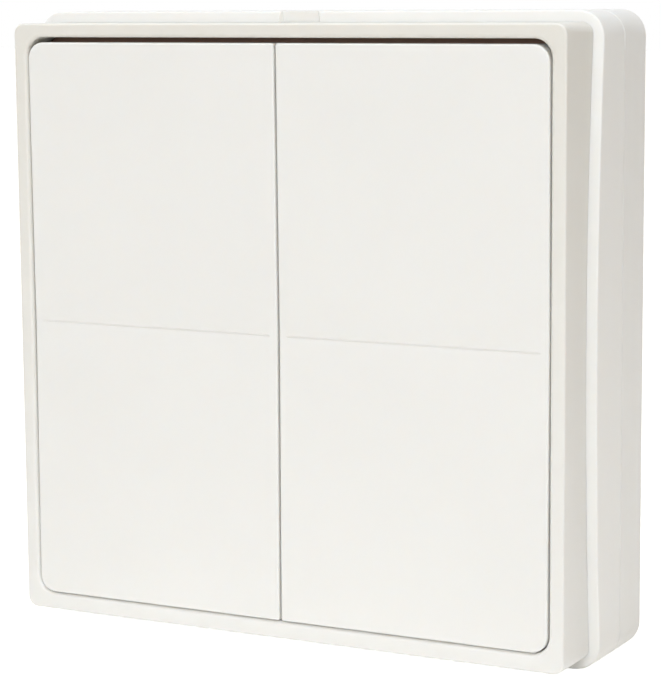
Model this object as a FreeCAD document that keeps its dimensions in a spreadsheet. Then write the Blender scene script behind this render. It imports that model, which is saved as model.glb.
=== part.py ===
import FreeCAD, Part
import math
import os
from types import SimpleNamespace

import Sketcher

# Wireless remote wall switch with two tall rockers, for a wall.
# X points right, Z up, and the wall is the plane Y = 0. The switch stands out from the wall towards -Y,
# so a distance from the wall d lies at Y = -d. Lengths are in millimetres.

# Driving dimensions: name, value, meaning
DIMENSIONS = [
    ("total_depth", 23.5, "wall to the front of the frame"),
    ("frame_side", 83.0, "outer side of the square front frame"),
    ("frame_corner", 1.5, "outer corner radius of the frame"),
    ("frame_lip", 1.9, "width of the frame seen from the front"),
    ("frame_lip_depth", 4.5, "how deep the frame keeps that width"),
    ("frame_sill", 0.35, "how much wider the frame is below the rockers"),
    ("frame_skirt", 1.4, "wall of the frame behind the lip"),
    ("frame_edge", 0.4, "bevel of the frame's outer front edge"),
    ("opening_corner", 2.5, "corner radius of the frame's opening"),
    ("opening_edge", 0.25, "bevel of the opening's front edge"),
    ("waist_depth", 6.9, "front of the frame to the base's rim at the middle of a side"),
    ("rim_width", 1.5, "how far the base stands out past the frame"),
    ("rim_fit", 0.1, "gap between the frame and the rim round it"),
    ("rim_crown", 486.0, "radius of the shallow dome that the rim's front follows"),
    ("base_corner", 3.5, "corner radius of the base"),
    ("seam_chamfer", 0.25, "bevel on both sides of the parting line"),
    ("notch_width", 6.2, "width of the release notch in the rim"),
    ("notch_depth", 0.6, "depth of the release notch"),
    ("plate_thickness", 1.8, "rear wall of the wall plate"),
    ("plate_wall", 2.2, "side wall of the wall plate"),
    ("lip_height", 1.2, "height of the wall plate's locating lip"),
    ("lip_fit", 0.1, "gap round the locating lip"),
    ("slot_spacing", 60.0, "distance between opposite screw slots"),
    ("slot_width", 4.2, "width of a screw slot"),
    ("slot_length", 8.0, "end to end length of a screw slot"),
    ("floor_gap", 0.2, "gap between the locating lip and the base's floor"),
    ("floor_thickness", 1.5, "floor of the base housing"),
    ("cell_window", 12.6, "radius of the battery window in the floor"),
    ("hook_setback", 19.5, "frame's outer side to the middle of a snap hook"),
    ("hook_width", 8.0, "width of a snap hook"),
    ("hook_arm", 1.4, "thickness of a snap hook's arm"),
    ("hook_nose", 0.65, "how far a snap hook's nose stands out"),
    ("hook_inset", 3.5, "distance of the hooks from the frame's outer side"),
    ("hook_fit", 0.15, "gap beside and above a snap hook"),
    ("catch_width", 8.4, "width of the catch that holds the frame"),
    ("catch_thickness", 1.3, "thickness of the catch"),
    ("catch_height", 2.1, "height of the catch over the floor"),
    ("catch_nose", 0.4, "how far the catch engages the frame"),
    ("catch_fit", 0.1, "gap round the catch"),
    ("board_margin_end", 4.8, "inside of the frame's skirt to the board's upper and lower edges"),
    ("board_fit", 0.4, "gap between the board's side edges and the carrier's legs"),
    ("board_corner", 1.0, "corner radius of the board"),
    ("board_thickness", 1.2, "thickness of the board"),
    ("rib_height", 0.8, "height of the two ribs under the board"),
    ("rib_overlap", 2.2, "how far a rib reaches under the board"),
    ("clamp_width", 1.2, "width of the bars that hold the board down"),
    ("leg_width", 5.2, "width of the carrier's square legs"),
    ("screw_inset", 6.9, "inside of the frame's skirt to the carrier screws, at the sides"),
    ("screw_inset_end", 8.4, "inside of the frame's skirt to the carrier screws, above and below"),
    ("screw_radius", 1.05, "shank of a carrier screw"),
    ("screw_fit", 0.05, "gap between a screw and its pilot hole"),
    ("screw_clearance", 0.3, "gap between a screw and its clearance holes"),
    ("screw_head_radius", 2.0, "radius of a screw's head"),
    ("screw_head_height", 1.2, "height of a screw's head"),
    ("screw_length", 7.4, "length of a screw under its head"),
    ("rocker_gap", 0.5, "gap between the rockers and the frame, at the sides"),
    ("rocker_gap_end", 0.7, "the same gap above the rockers"),
    ("middle_gap", 0.45, "gap between the two rockers"),
    ("rocker_corner", 2.0, "corner radius of a rocker at the frame"),
    ("rocker_inner_corner", 0.35, "corner radius of a rocker at the middle gap"),
    ("rocker_edge", 0.3, "bevel of a rocker's front edges"),
    ("rocker_dip", 0.3, "how far a rocker's middle lies behind its two ends"),
    ("rocker_skin", 1.5, "thickness of a rocker's face at its middle"),
    ("rocker_skirt", 3.9, "depth of a rocker's side walls from the front"),
    ("rocker_wall", 1.3, "thickness of a rocker's side walls"),
    ("crease_width", 0.36, "width of the line across a rocker's middle"),
    ("crease_depth", 0.12, "depth of that line"),
    ("crease_margin", 1.0, "distance from that line's ends to the rocker's edges"),
    ("rocker_tilt", 2.0, "tilt of a rocker each way, in degrees"),
    ("pivot_drop", 1.9, "back of a rocker's face to its tilt axis"),
    ("pin_radius", 1.0, "radius of a rocker's bearing pins"),
    ("pin_fit", 0.05, "gap between a pin and its bearing"),
    ("ear_radius", 1.8, "half width of the ears that carry the pins"),
    ("ear_thickness", 1.4, "thickness of an ear"),
    ("ear_gap", 0.25, "gap between an ear and its bearing post"),
    ("post_inset", 4.8, "long side of a rocker to the middle of a bearing post"),
    ("post_thickness", 2.0, "thickness of a bearing post"),
    ("post_radius", 1.7, "half width of a bearing post"),
    ("snap_width", 1.6, "width of the snap opening in a bearing post"),
    ("carrier_gap", 0.5, "space between a tilted rocker's edge and the carrier"),
    ("carrier_plate", 1.4, "thickness of the carrier's plate"),
    ("carrier_margin", 0.4, "gap between the carrier and the frame's skirt"),
    ("carrier_margin_end", 0.5, "the same gap above and below"),
    ("carrier_corner", 2.0, "corner radius of the carrier"),
    ("carrier_rib", 1.2, "width of the rib round the carrier's back"),
    ("carrier_rib_height", 1.4, "height of that rib"),
    ("plunger_inset", 11.9, "upper or lower edge of a rocker to a plunger"),
    ("plunger_width", 3.6, "width of a plunger's square stem"),
    ("plunger_fit", 0.08, "gap between a plunger and its guide"),
    ("tip_gap", 0.1, "gap between a plunger's tip and the rocker"),
    ("flange_width", 5.6, "width of a plunger's square flange"),
    ("flange_thickness", 0.6, "thickness of a plunger's flange"),
    ("flange_stop", 0.1, "gap left at the flange's stop"),
    ("touch_gap", 0.03, "gap left where a plunger touches its dome"),
    ("mat_width", 14.0, "width of a contact mat"),
    ("mat_sheet", 0.6, "thickness of a contact mat's sheet"),
    ("mat_margin", 2.5, "distance from a contact mat to the board's upper and lower edges"),
    ("mat_corner", 1.5, "corner radius of a contact mat"),
    ("dome_radius", 4.6, "radius of a dome's foot"),
    ("dome_top_radius", 2.2, "radius of a dome's top"),
    ("dome_height", 1.3, "height of a dome over its sheet"),
    ("dome_cavity", 2.8, "radius of the space inside a dome"),
    ("dome_wall", 0.6, "thickness of a dome's top"),
    ("cell_radius", 10.0, "radius of the coin cell"),
    ("cell_cap_radius", 8.9, "radius of the coin cell's negative cap"),
    ("cell_thickness", 3.2, "thickness of the coin cell"),
    ("cell_cap", 0.5, "height of the negative cap"),
    ("strip_thickness", 0.2, "thickness of the battery contacts"),
    ("spring_rise", 0.4, "height of the negative contact's bow"),
    ("clip_gap", 0.1, "gap between the coin cell's edge and the positive clip's bends"),
    ("clip_width", 6.0, "width of the positive clip"),
    ("clip_bend", 0.8, "outer bend radius of the positive clip"),
    ("spring_width", 4.0, "width of the negative contact"),
    ("spring_span", 12.0, "length of the negative contact"),
    ("spring_foot", 1.5, "length of each soldered foot of the negative contact"),
    ("module_width", 10.0, "width of the radio module"),
    ("module_height", 14.0, "height of the radio module"),
    ("module_board", 0.8, "thickness of the radio module's own board"),
    ("module_can", 1.3, "height of the radio module's shield"),
    ("module_border", 0.6, "board left free round the shield"),
    ("module_inset", 12.0, "upper edge of the board to the middle of the radio module"),
    ("chip_side", 6.0, "side of the controller chip"),
    ("chip_height", 0.9, "height of the controller chip"),
    ("chip_place", 4.0, "middle of the controller chip over the tilt axis"),
    ("crystal_width", 5.0, "width of the crystal"),
    ("crystal_height", 3.2, "height of the crystal on the board"),
    ("crystal_rise", 1.1, "rise of the crystal over the board"),
    ("crystal_place", -6.0, "middle of the crystal over the tilt axis"),
    ("capacitor_width", 7.3, "width of the reservoir capacitor"),
    ("capacitor_height", 4.3, "height of the reservoir capacitor on the board"),
    ("capacitor_rise", 1.9, "rise of the reservoir capacitor over the board"),
    ("capacitor_inset", 17.3, "lower edge of the board to the middle of the reservoir capacitor"),
    ("part_edge", 0.3, "rounding or bevel of the small board parts"),
    ("antenna_width", 1.0, "width of the antenna strip"),
    ("antenna_thickness", 0.3, "thickness of the antenna strip"),
    ("antenna_rise", 1.5, "board to the front of the antenna strip"),
    ("antenna_bend", 0.7, "outer bend radius of the antenna strip"),
    ("antenna_margin", 5.2, "side edges of the board to the antenna strip"),
    ("antenna_inset", 1.2, "upper edge of the board to the middle of the antenna strip"),
    ("root_overlap", 0.4, "how far a moulded feature's root reaches into what carries it"),
]

RADIANS_PER_DEGREE = math.pi / 180
SIDES = (("left", -1), ("right", 1))
ENDS = (("upper", 1), ("lower", -1))
TINY = 1e-6


class Size:
    """A length as a number, with the sheet expression that gives it."""

    def __init__(self, value, text):
        self.value = float(value)
        self.text = text

    def __add__(self, other):
        other = size_of(other)
        return Size(self.value + other.value, f"({self.text} + {other.text})")

    def __sub__(self, other):
        other = size_of(other)
        return Size(self.value - other.value, f"({self.text} - {other.text})")

    def __mul__(self, other):
        other = size_of(other)
        return Size(self.value * other.value, f"({self.text} * {other.text})")

    def __truediv__(self, other):
        other = size_of(other)
        return Size(self.value / other.value, f"({self.text} / {other.text})")

    def __neg__(self):
        return Size(-self.value, f"(-1 * {self.text})")

    __radd__ = __add__
    __rmul__ = __mul__

    def __rsub__(self, other):
        return size_of(other) - self


def size_of(thing):
    """A plain number as a Size, and a Size as it is."""
    if isinstance(thing, Size):
        return thing
    return Size(thing, f"({thing})")


doc = FreeCAD.newDocument("wall_switch")


def fill_sheet():
    """Write the driving dimensions to the sheet, and give each as a Size."""
    sheet = doc.addObject("Spreadsheet::Sheet", "dims")
    named = {}
    for row, (name, value, meaning) in enumerate(DIMENSIONS, 1):
        sheet.set(f"A{row}", name)
        sheet.set(f"B{row}", str(value))
        sheet.set(f"C{row}", meaning)
        sheet.setAlias(f"B{row}", name)
        named[name] = Size(value, f"dims.{name}")
    doc.recompute()
    return SimpleNamespace(**named)


s = fill_sheet()

# Rockers, from the front of the frame back to their tilt axis
frame_half = s.frame_side / 2
base_half = frame_half + s.rim_width
opening_half = frame_half - s.frame_lip
skirt_half = frame_half - s.frame_skirt
rocker_half_height = opening_half - s.rocker_gap_end
rocker_outer = opening_half - s.rocker_gap
rocker_width = rocker_outer - s.middle_gap / 2
rocker_centre = rocker_outer - rocker_width / 2
rocker_middle = s.total_depth - s.rocker_dip
skin_rear = rocker_middle - s.rocker_skin
skirt_rear = s.total_depth - s.rocker_skirt
pivot = skin_rear - s.pivot_drop
post_offset = rocker_width / 2 - s.post_inset
tilt_radians = s.rocker_tilt * RADIANS_PER_DEGREE
edge_travel = rocker_half_height * tilt_radians

# Carrier, plungers and domes, each behind the one before
plunger_lever = rocker_half_height - s.plunger_inset
plunger_travel = plunger_lever * tilt_radians
tip_front = skin_rear - s.tip_gap
guide_width = s.plunger_width + s.plunger_fit * 2
carrier_front = skirt_rear - edge_travel - s.carrier_gap
carrier_rear = carrier_front - s.carrier_plate
carrier_half_width = skirt_half - s.carrier_margin
carrier_half_height = skirt_half - s.carrier_margin_end
flange_front = carrier_rear - s.flange_stop - plunger_travel
flange_rear = flange_front - s.flange_thickness
dome_top = flange_rear - s.touch_gap
mat_front = dome_top - s.dome_height

# Board, battery and base, down to the parting line
board_front = mat_front - s.mat_sheet
board_rear = board_front - s.board_thickness
board_half_height = skirt_half - s.board_margin_end
screw_x = skirt_half - s.screw_inset
screw_z = skirt_half - s.screw_inset_end
board_half_width = screw_x - s.leg_width / 2 - s.board_fit
screw_hole = s.screw_radius + s.screw_clearance
pilot_hole = s.screw_radius + s.screw_fit
cell_front = board_rear - s.strip_thickness - s.spring_rise
cell_rear = cell_front - s.cell_thickness
floor_front = board_rear - s.rib_height
floor_rear = floor_front - s.floor_thickness
lip_front = floor_rear - s.floor_gap
seam_depth = lip_front - s.lip_height
rim_front = s.total_depth - s.waist_depth
rim_crown_top = rim_front + frame_half * frame_half / (2 * s.rim_crown)
rim_inner_half = frame_half + s.rim_fit
rim_inner_corner = s.frame_corner + s.rim_fit

# Snap hooks of the wall plate and catches of the base
hook_offset = frame_half - s.hook_setback
hook_outer = frame_half - s.hook_inset
hook_inner = hook_outer - s.hook_arm
catch_tip = floor_front + s.catch_height
catch_outer = skirt_half - s.catch_nose


def bind(thing, name, size):
    """Bind a property to the sheet expression of a Size."""
    thing.setExpression(name, size_of(size).text)


# Sketch outlines
def constrain(sketch, kind, *where, size=None):
    """Add a constraint, bound to the sheet where it has a size."""
    if size is None:
        sketch.addConstraint(Sketcher.Constraint(kind, *where))
        return
    size = size_of(size)
    index = sketch.addConstraint(Sketcher.Constraint(kind, *where, size.value))
    sketch.setExpression(f"Constraints[{index}]", size.text)


def place_point(sketch, geometry, point, u, v):
    """Hold a sketch point at u, v from the sketch's origin."""
    constrain(sketch, "DistanceX", -1, 1, geometry, point, size=u)
    constrain(sketch, "DistanceY", -1, 1, geometry, point, size=v)


def point_at(u, v):
    return FreeCAD.Vector(size_of(u).value, size_of(v).value, 0)


def line(sketch, start, end):
    return sketch.addGeometry(Part.LineSegment(point_at(*start), point_at(*end)))


def arc(sketch, centre, radius, start_angle, end_angle):
    """Anticlockwise arc, with its angles in degrees."""
    circle = Part.Circle(point_at(*centre), FreeCAD.Vector(0, 0, 1), size_of(radius).value)
    return sketch.addGeometry(Part.ArcOfCircle(circle, math.radians(start_angle), math.radians(end_angle)))


def polygon(sketch, points):
    """Closed outline of straight lines through the points."""
    count = len(points)
    lines = [line(sketch, points[i], points[(i + 1) % count]) for i in range(count)]
    for i in range(count):
        constrain(sketch, "Coincident", lines[i], 2, lines[(i + 1) % count], 1)
        place_point(sketch, lines[i], 1, *points[i])


def rectangle(sketch, low_u, high_u, low_v, high_v):
    polygon(sketch, [(low_u, low_v), (high_u, low_v), (high_u, high_v), (low_u, high_v)])


def disc(sketch, u, v, radius):
    """Full circle."""
    circle = Part.Circle(point_at(u, v), FreeCAD.Vector(0, 0, 1), size_of(radius).value)
    index = sketch.addGeometry(circle)
    place_point(sketch, index, 3, u, v)
    constrain(sketch, "Radius", index, size=radius)


def rounded_box(sketch, half_u, half_v, radius, centre_u=0, centre_v=0):
    """Rectangle with equal round corners."""
    low_u = centre_u - half_u
    high_u = centre_u + half_u
    low_v = centre_v - half_v
    high_v = centre_v + half_v
    bottom = line(sketch, (low_u + radius, low_v), (high_u - radius, low_v))
    corner_1 = arc(sketch, (high_u - radius, low_v + radius), radius, 270, 360)
    right = line(sketch, (high_u, low_v + radius), (high_u, high_v - radius))
    corner_2 = arc(sketch, (high_u - radius, high_v - radius), radius, 0, 90)
    top = line(sketch, (high_u - radius, high_v), (low_u + radius, high_v))
    corner_3 = arc(sketch, (low_u + radius, high_v - radius), radius, 90, 180)
    left = line(sketch, (low_u, high_v - radius), (low_u, low_v + radius))
    corner_4 = arc(sketch, (low_u + radius, low_v + radius), radius, 180, 270)
    ring = [bottom, corner_1, right, corner_2, top, corner_3, left, corner_4]
    for i, piece in enumerate(ring):
        constrain(sketch, "Tangent", piece, 2, ring[(i + 1) % len(ring)], 1)
    for piece in (bottom, top):
        constrain(sketch, "Horizontal", piece)
    for piece in (right, left):
        constrain(sketch, "Vertical", piece)
    for piece in (corner_2, corner_3, corner_4):
        constrain(sketch, "Equal", corner_1, piece)
    constrain(sketch, "Radius", corner_1, size=radius)
    constrain(sketch, "DistanceY", -1, 1, bottom, 1, size=low_v)
    constrain(sketch, "DistanceY", -1, 1, top, 1, size=high_v)
    constrain(sketch, "DistanceX", -1, 1, right, 1, size=high_u)
    constrain(sketch, "DistanceX", -1, 1, left, 1, size=low_u)


def slot(sketch, u, v, length, width, upright=False):
    """Slot with round ends about the point u, v."""
    reach = (length - width) / 2
    radius = width / 2
    if upright:
        first = line(sketch, (u + radius, v - reach), (u + radius, v + reach))
        end_1 = arc(sketch, (u, v + reach), radius, 0, 180)
        second = line(sketch, (u - radius, v + reach), (u - radius, v - reach))
        end_2 = arc(sketch, (u, v - reach), radius, 180, 360)
        centres = [(end_1, u, v + reach), (end_2, u, v - reach)]
    else:
        first = line(sketch, (u - reach, v - radius), (u + reach, v - radius))
        end_1 = arc(sketch, (u + reach, v), radius, -90, 90)
        second = line(sketch, (u + reach, v + radius), (u - reach, v + radius))
        end_2 = arc(sketch, (u - reach, v), radius, 90, 270)
        centres = [(end_1, u + reach, v), (end_2, u - reach, v)]
    ring = [first, end_1, second, end_2]
    for i, piece in enumerate(ring):
        constrain(sketch, "Tangent", piece, 2, ring[(i + 1) % len(ring)], 1)
    constrain(sketch, "Equal", end_1, end_2)
    constrain(sketch, "Radius", end_1, size=radius)
    (index_1, u_1, v_1), (index_2, u_2, v_2) = centres
    place_point(sketch, index_1, 3, u_1, v_1)
    place_point(sketch, index_2, 3, u_2, v_2)


def arch(sketch, foot, centre, half_width):
    """Strip along u from its foot to a half-round end about the centre."""
    forward = size_of(centre).value > size_of(foot).value
    low = (centre, -half_width)
    high = (centre, half_width)
    closing = line(sketch, (foot, half_width), (foot, -half_width))
    lower = line(sketch, (foot, -half_width), low)
    upper = line(sketch, high, (foot, half_width))
    if forward:
        end = arc(sketch, (centre, 0), half_width, -90, 90)
        constrain(sketch, "Tangent", lower, 2, end, 1)
        constrain(sketch, "Tangent", end, 2, upper, 1)
    else:
        end = arc(sketch, (centre, 0), half_width, 90, 270)
        constrain(sketch, "Tangent", lower, 2, end, 2)
        constrain(sketch, "Tangent", end, 1, upper, 1)
    constrain(sketch, "Coincident", upper, 2, closing, 1)
    constrain(sketch, "Coincident", closing, 2, lower, 1)
    constrain(sketch, "Horizontal", lower)
    constrain(sketch, "Vertical", closing)
    constrain(sketch, "Radius", end, size=half_width)
    place_point(sketch, end, 3, centre, 0)
    constrain(sketch, "DistanceX", -1, 1, lower, 1, size=foot)


# Features of a body
def new_body(name):
    body = doc.addObject("PartDesign::Body", name)
    body.Label = name
    return body


def new_sketch(body, name, role, offset=0):
    """Sketch on one of the body's own planes, moved along that plane's normal."""
    sketch = body.newObject("Sketcher::SketchObject", name)
    plane = next(item for item in body.Origin.OriginFeatures if item.Role == role)
    sketch.AttachmentSupport = [(plane, "")]
    sketch.MapMode = "FlatFace"
    bind(sketch, "AttachmentOffset.Base.z", offset)
    return sketch


def volume_of(body):
    if body.Shape.isNull():
        return 0.0
    return body.Shape.Volume


def add_feature(body, kind, name, profile, grows, **sizes):
    """Add a sketch based feature, and make sure that it adds or cuts something."""
    before = volume_of(body)
    feature = body.newObject(kind, name)
    feature.Profile = profile
    if "Groove" in kind or "Revolution" in kind:
        feature.ReferenceAxis = (profile, ["V_Axis"])
    for prop, size in sizes.items():
        bind(feature, prop, size)
    doc.recompute()
    gained = volume_of(body) - before
    if (gained > TINY) != grows or abs(gained) <= TINY:
        raise RuntimeError(f"{body.Name}: {name} changes nothing")
    return feature


def add_layer(body, name, rear, front, draw):
    """Solid between two distances from the wall, with the outline that draw gives."""
    sketch = new_sketch(body, name + "_outline", "XZ_Plane", rear)
    draw(sketch)
    return add_feature(body, "PartDesign::Pad", name, sketch, True, Length=front - rear)


def cut_layer(body, name, rear, front, draw):
    """Cut between two distances from the wall."""
    sketch = new_sketch(body, name + "_outline", "XZ_Plane", front)
    draw(sketch)
    return add_feature(body, "PartDesign::Pocket", name, sketch, False, Length=front - rear)


def add_across(body, name, low, high, draw):
    """Solid between two x planes; draw works in Y and Z."""
    sketch = new_sketch(body, name + "_outline", "YZ_Plane", low)
    draw(sketch)
    return add_feature(body, "PartDesign::Pad", name, sketch, True, Length=high - low)


def cut_across(body, name, low, high, draw):
    """Cut between two x planes; draw works in Y and Z."""
    sketch = new_sketch(body, name + "_outline", "YZ_Plane", high)
    draw(sketch)
    return add_feature(body, "PartDesign::Pocket", name, sketch, False, Length=high - low)


def dress_edges(body, kind, name, size, wanted):
    """Fillet or chamfer the edges of the body that the test picks."""
    base = body.Tip
    names = [f"Edge{i}" for i, edge in enumerate(base.Shape.Edges, 1) if wanted(edge)]
    if not names:
        raise RuntimeError(f"{body.Name}: {name} finds no edge")
    feature = body.newObject(kind, name)
    feature.Base = (base, names)
    bind(feature, "Radius" if "Fillet" in kind else "Size", size)
    doc.recompute()
    return feature


def at_depth(edge, depth):
    """Whether the whole edge lies at this distance from the wall."""
    box = edge.BoundBox
    return abs(box.YMin + depth.value) < 0.01 and abs(box.YMax + depth.value) < 0.01


def reach_of(edge):
    """Greatest distance of the edge's middle from the object's axis, along X or Z."""
    middle = edge.CenterOfMass
    return max(abs(middle.x), abs(middle.z))


def runs_along_y(edge):
    box = edge.BoundBox
    return box.XLength < TINY and box.ZLength < TINY


# Front frame
def make_front_frame():
    body = new_body("front_frame")
    add_layer(body, "block", floor_front, s.total_depth,
              lambda k: rounded_box(k, frame_half, frame_half, s.frame_corner))
    lift = s.frame_sill / 2
    cut_layer(body, "opening", floor_front, s.total_depth,
              lambda k: rounded_box(k, opening_half, opening_half - lift, s.opening_corner, 0, lift))
    cut_layer(body, "skirt_hollow", floor_front, s.total_depth - s.frame_lip_depth,
              lambda k: rounded_box(k, skirt_half, skirt_half, s.opening_corner))
    for end, sign in ENDS:
        inner = sign * catch_outer
        outer = sign * (skirt_half + s.catch_nose / 2 + s.catch_fit)
        reach = s.catch_width / 2 + s.catch_fit
        cut_layer(body, end + "_catch_pocket", catch_tip - s.catch_nose * 2 - s.catch_fit,
                  catch_tip + s.catch_fit, lambda k: rectangle(k, -reach, reach, inner, outer))
    middle = (frame_half - s.frame_lip / 2).value
    dress_edges(body, "PartDesign::Chamfer", "outer_edge", s.frame_edge,
                lambda e: at_depth(e, s.total_depth) and reach_of(e) > middle)
    dress_edges(body, "PartDesign::Chamfer", "opening_edge", s.opening_edge,
                lambda e: at_depth(e, s.total_depth) and reach_of(e) < middle)
    return body


# Base housing
def crown_cut_outline(sketch):
    """Region in front of the shallow dome, to be turned about the Y axis."""
    reach = base_half * 1.5
    top = -rim_crown_top
    ceiling = top - s.waist_depth
    centre = top + s.rim_crown
    angle = math.degrees(math.asin(reach.value / s.rim_crown.value))
    dome = arc(sketch, (0, centre), s.rim_crown, -90, -90 + angle)
    end = sketch.getPoint(dome, 2)
    side = line(sketch, (end.x, end.y), (reach, ceiling))
    lid = line(sketch, (reach, ceiling), (0, ceiling))
    axis_side = line(sketch, (0, ceiling), (0, top))
    ring = [dome, side, lid, axis_side]
    for i, piece in enumerate(ring):
        constrain(sketch, "Coincident", piece, 2, ring[(i + 1) % len(ring)], 1)
    constrain(sketch, "Radius", dome, size=s.rim_crown)
    place_point(sketch, dome, 3, 0, centre)
    place_point(sketch, axis_side, 1, 0, ceiling)
    constrain(sketch, "DistanceX", -1, 1, side, 1, size=reach)
    constrain(sketch, "DistanceX", -1, 1, axis_side, 2, size=0)
    constrain(sketch, "Vertical", side)
    constrain(sketch, "Horizontal", lid)


def hook_windows(sketch):
    """Windows in the floor that the wall plate's hooks pass through."""
    for _, side in SIDES:
        for _, end in ENDS:
            near = side * (hook_offset - s.hook_width / 2 - s.hook_fit)
            far = side * (hook_offset + s.hook_width / 2 + s.hook_fit)
            inner = end * (hook_inner - s.hook_nose - s.hook_fit * 2)
            outer = end * (hook_outer + s.hook_fit)
            rectangle(sketch, near, far, inner, outer)


def board_ribs(sketch):
    """Two upright ribs that carry the board's side edges and the carrier's legs."""
    reach = screw_z + s.leg_width / 2
    for _, side in SIDES:
        near = side * (board_half_width - s.rib_overlap)
        far = side * (screw_x + s.leg_width / 2)
        rectangle(sketch, near, far, -reach, reach)


def screw_circles(sketch, radius):
    """One circle at each of the four carrier screws."""
    for _, side in SIDES:
        for _, end in ENDS:
            disc(sketch, side * screw_x, end * screw_z, radius)


def make_base_housing():
    body = new_body("base_housing")
    add_layer(body, "shell", seam_depth, rim_crown_top,
              lambda k: rounded_box(k, base_half, base_half, s.base_corner))
    crown = new_sketch(body, "crown_outline", "XY_Plane")
    crown_cut_outline(crown)
    add_feature(body, "PartDesign::Groove", "crown", crown, False)
    cut_layer(body, "front_hollow", floor_front, rim_crown_top,
              lambda k: rounded_box(k, rim_inner_half, rim_inner_half, rim_inner_corner))
    cut_layer(body, "rear_recess", seam_depth, floor_rear,
              lambda k: rounded_box(k, rim_inner_half, rim_inner_half, rim_inner_corner))
    outer = (base_half - s.rim_width / 2).value
    dress_edges(body, "PartDesign::Chamfer", "seam_bevel", s.seam_chamfer,
                lambda e: at_depth(e, seam_depth) and reach_of(e) > outer)
    notch_half = s.notch_width / 2
    cut_layer(body, "release_notch", rim_front - s.notch_depth, rim_crown_top,
              lambda k: rectangle(k, -notch_half, notch_half, frame_half, base_half + s.root_overlap))
    cut_layer(body, "battery_window", floor_rear, floor_front,
              lambda k: disc(k, 0, 0, s.cell_window))
    cut_layer(body, "hook_windows", floor_rear, floor_front, hook_windows)
    add_layer(body, "board_ribs", floor_front, board_rear, board_ribs)
    cut_layer(body, "pilot_holes", floor_rear, board_rear, lambda k: screw_circles(k, pilot_hole))
    for end, sign in ENDS:
        make_frame_catch(body, end, sign)
    return body


def make_frame_catch(body, end, sign):
    """Tab on the floor whose nose holds the frame at the middle of one side."""
    back = catch_outer - s.catch_thickness
    nose = skirt_half + s.catch_nose / 2
    half = s.catch_width / 2
    slope = catch_tip - s.catch_nose
    points = [
        (-floor_front + s.root_overlap, sign * back),
        (-catch_tip, sign * back),
        (-catch_tip, sign * catch_outer),
        (-slope, sign * nose),
        (-(slope - s.catch_nose), sign * nose),
        (-(slope - s.catch_nose), sign * catch_outer),
        (-floor_front + s.root_overlap, sign * catch_outer),
    ]
    add_across(body, end + "_catch", -half, half, lambda k: polygon(k, points))


# Wall plate
def screw_slots(sketch):
    """Two level and two upright slots."""
    reach = s.slot_spacing / 2
    for sign in (-1, 1):
        slot(sketch, sign * reach, size_of(0), s.slot_length, s.slot_width)
        slot(sketch, size_of(0), sign * reach, s.slot_length, s.slot_width, upright=True)


def make_wall_plate():
    body = new_body("wall_plate")
    inner = base_half - s.plate_wall
    inner_corner = s.base_corner - s.plate_wall
    lip_half = rim_inner_half - s.lip_fit
    add_layer(body, "pan", size_of(0), seam_depth,
              lambda k: rounded_box(k, base_half, base_half, s.base_corner))
    add_layer(body, "locating_lip", seam_depth, lip_front,
              lambda k: rounded_box(k, lip_half, lip_half, s.frame_corner))
    cut_layer(body, "hollow", s.plate_thickness, lip_front,
              lambda k: rounded_box(k, inner, inner, inner_corner))
    dress_edges(body, "PartDesign::Chamfer", "seam_bevel", s.seam_chamfer,
                lambda e: at_depth(e, seam_depth) and reach_of(e) > (base_half - s.rim_width / 2).value)
    cut_layer(body, "screw_slots", size_of(0), s.plate_thickness, screw_slots)
    for side, side_sign in SIDES:
        for end, end_sign in ENDS:
            make_snap_hook(body, f"{side}_{end}", side_sign, end_sign)
    return body


def make_snap_hook(body, name, side, end):
    """Springy arm whose nose holds the base housing's floor."""
    middle = side * hook_offset
    hold = floor_front + s.hook_fit / 3
    tip = hold + s.hook_nose * 1.5
    points = [
        (-s.plate_thickness + s.root_overlap, end * hook_inner),
        (-tip, end * hook_inner),
        (-tip, end * hook_outer),
        (-(hold + s.hook_nose / 2), end * (hook_outer + s.hook_nose)),
        (-hold, end * (hook_outer + s.hook_nose)),
        (-hold, end * hook_outer),
        (-s.plate_thickness + s.root_overlap, end * hook_outer),
    ]
    add_across(body, name + "_hook", middle - s.hook_width / 2, middle + s.hook_width / 2,
               lambda k: polygon(k, points))


# Rocker carrier
def square(sketch, u, v, width):
    """Square of a given width round a point."""
    half = width / 2
    rectangle(sketch, u - half, u + half, v - half, v + half)


def plunger_guides(sketch):
    """One square opening for each of the four plungers."""
    for _, side in SIDES:
        for _, end in ENDS:
            square(sketch, side * rocker_centre, end * plunger_lever, guide_width)


def leg_squares(sketch):
    """The four legs, one round each screw."""
    for _, side in SIDES:
        for _, end in ENDS:
            square(sketch, side * screw_x, end * screw_z, s.leg_width)


def clamp_bars(sketch):
    """Two bars that hold the board down, each midway between a contact mat and the radio module."""
    reach = screw_z - s.leg_width / 2
    mat_edge = rocker_centre - s.mat_width / 2
    place = (mat_edge + s.module_width / 2) / 2
    for _, side in SIDES:
        middle = side * place
        rectangle(sketch, middle - s.clamp_width / 2, middle + s.clamp_width / 2, -reach, reach)


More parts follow.
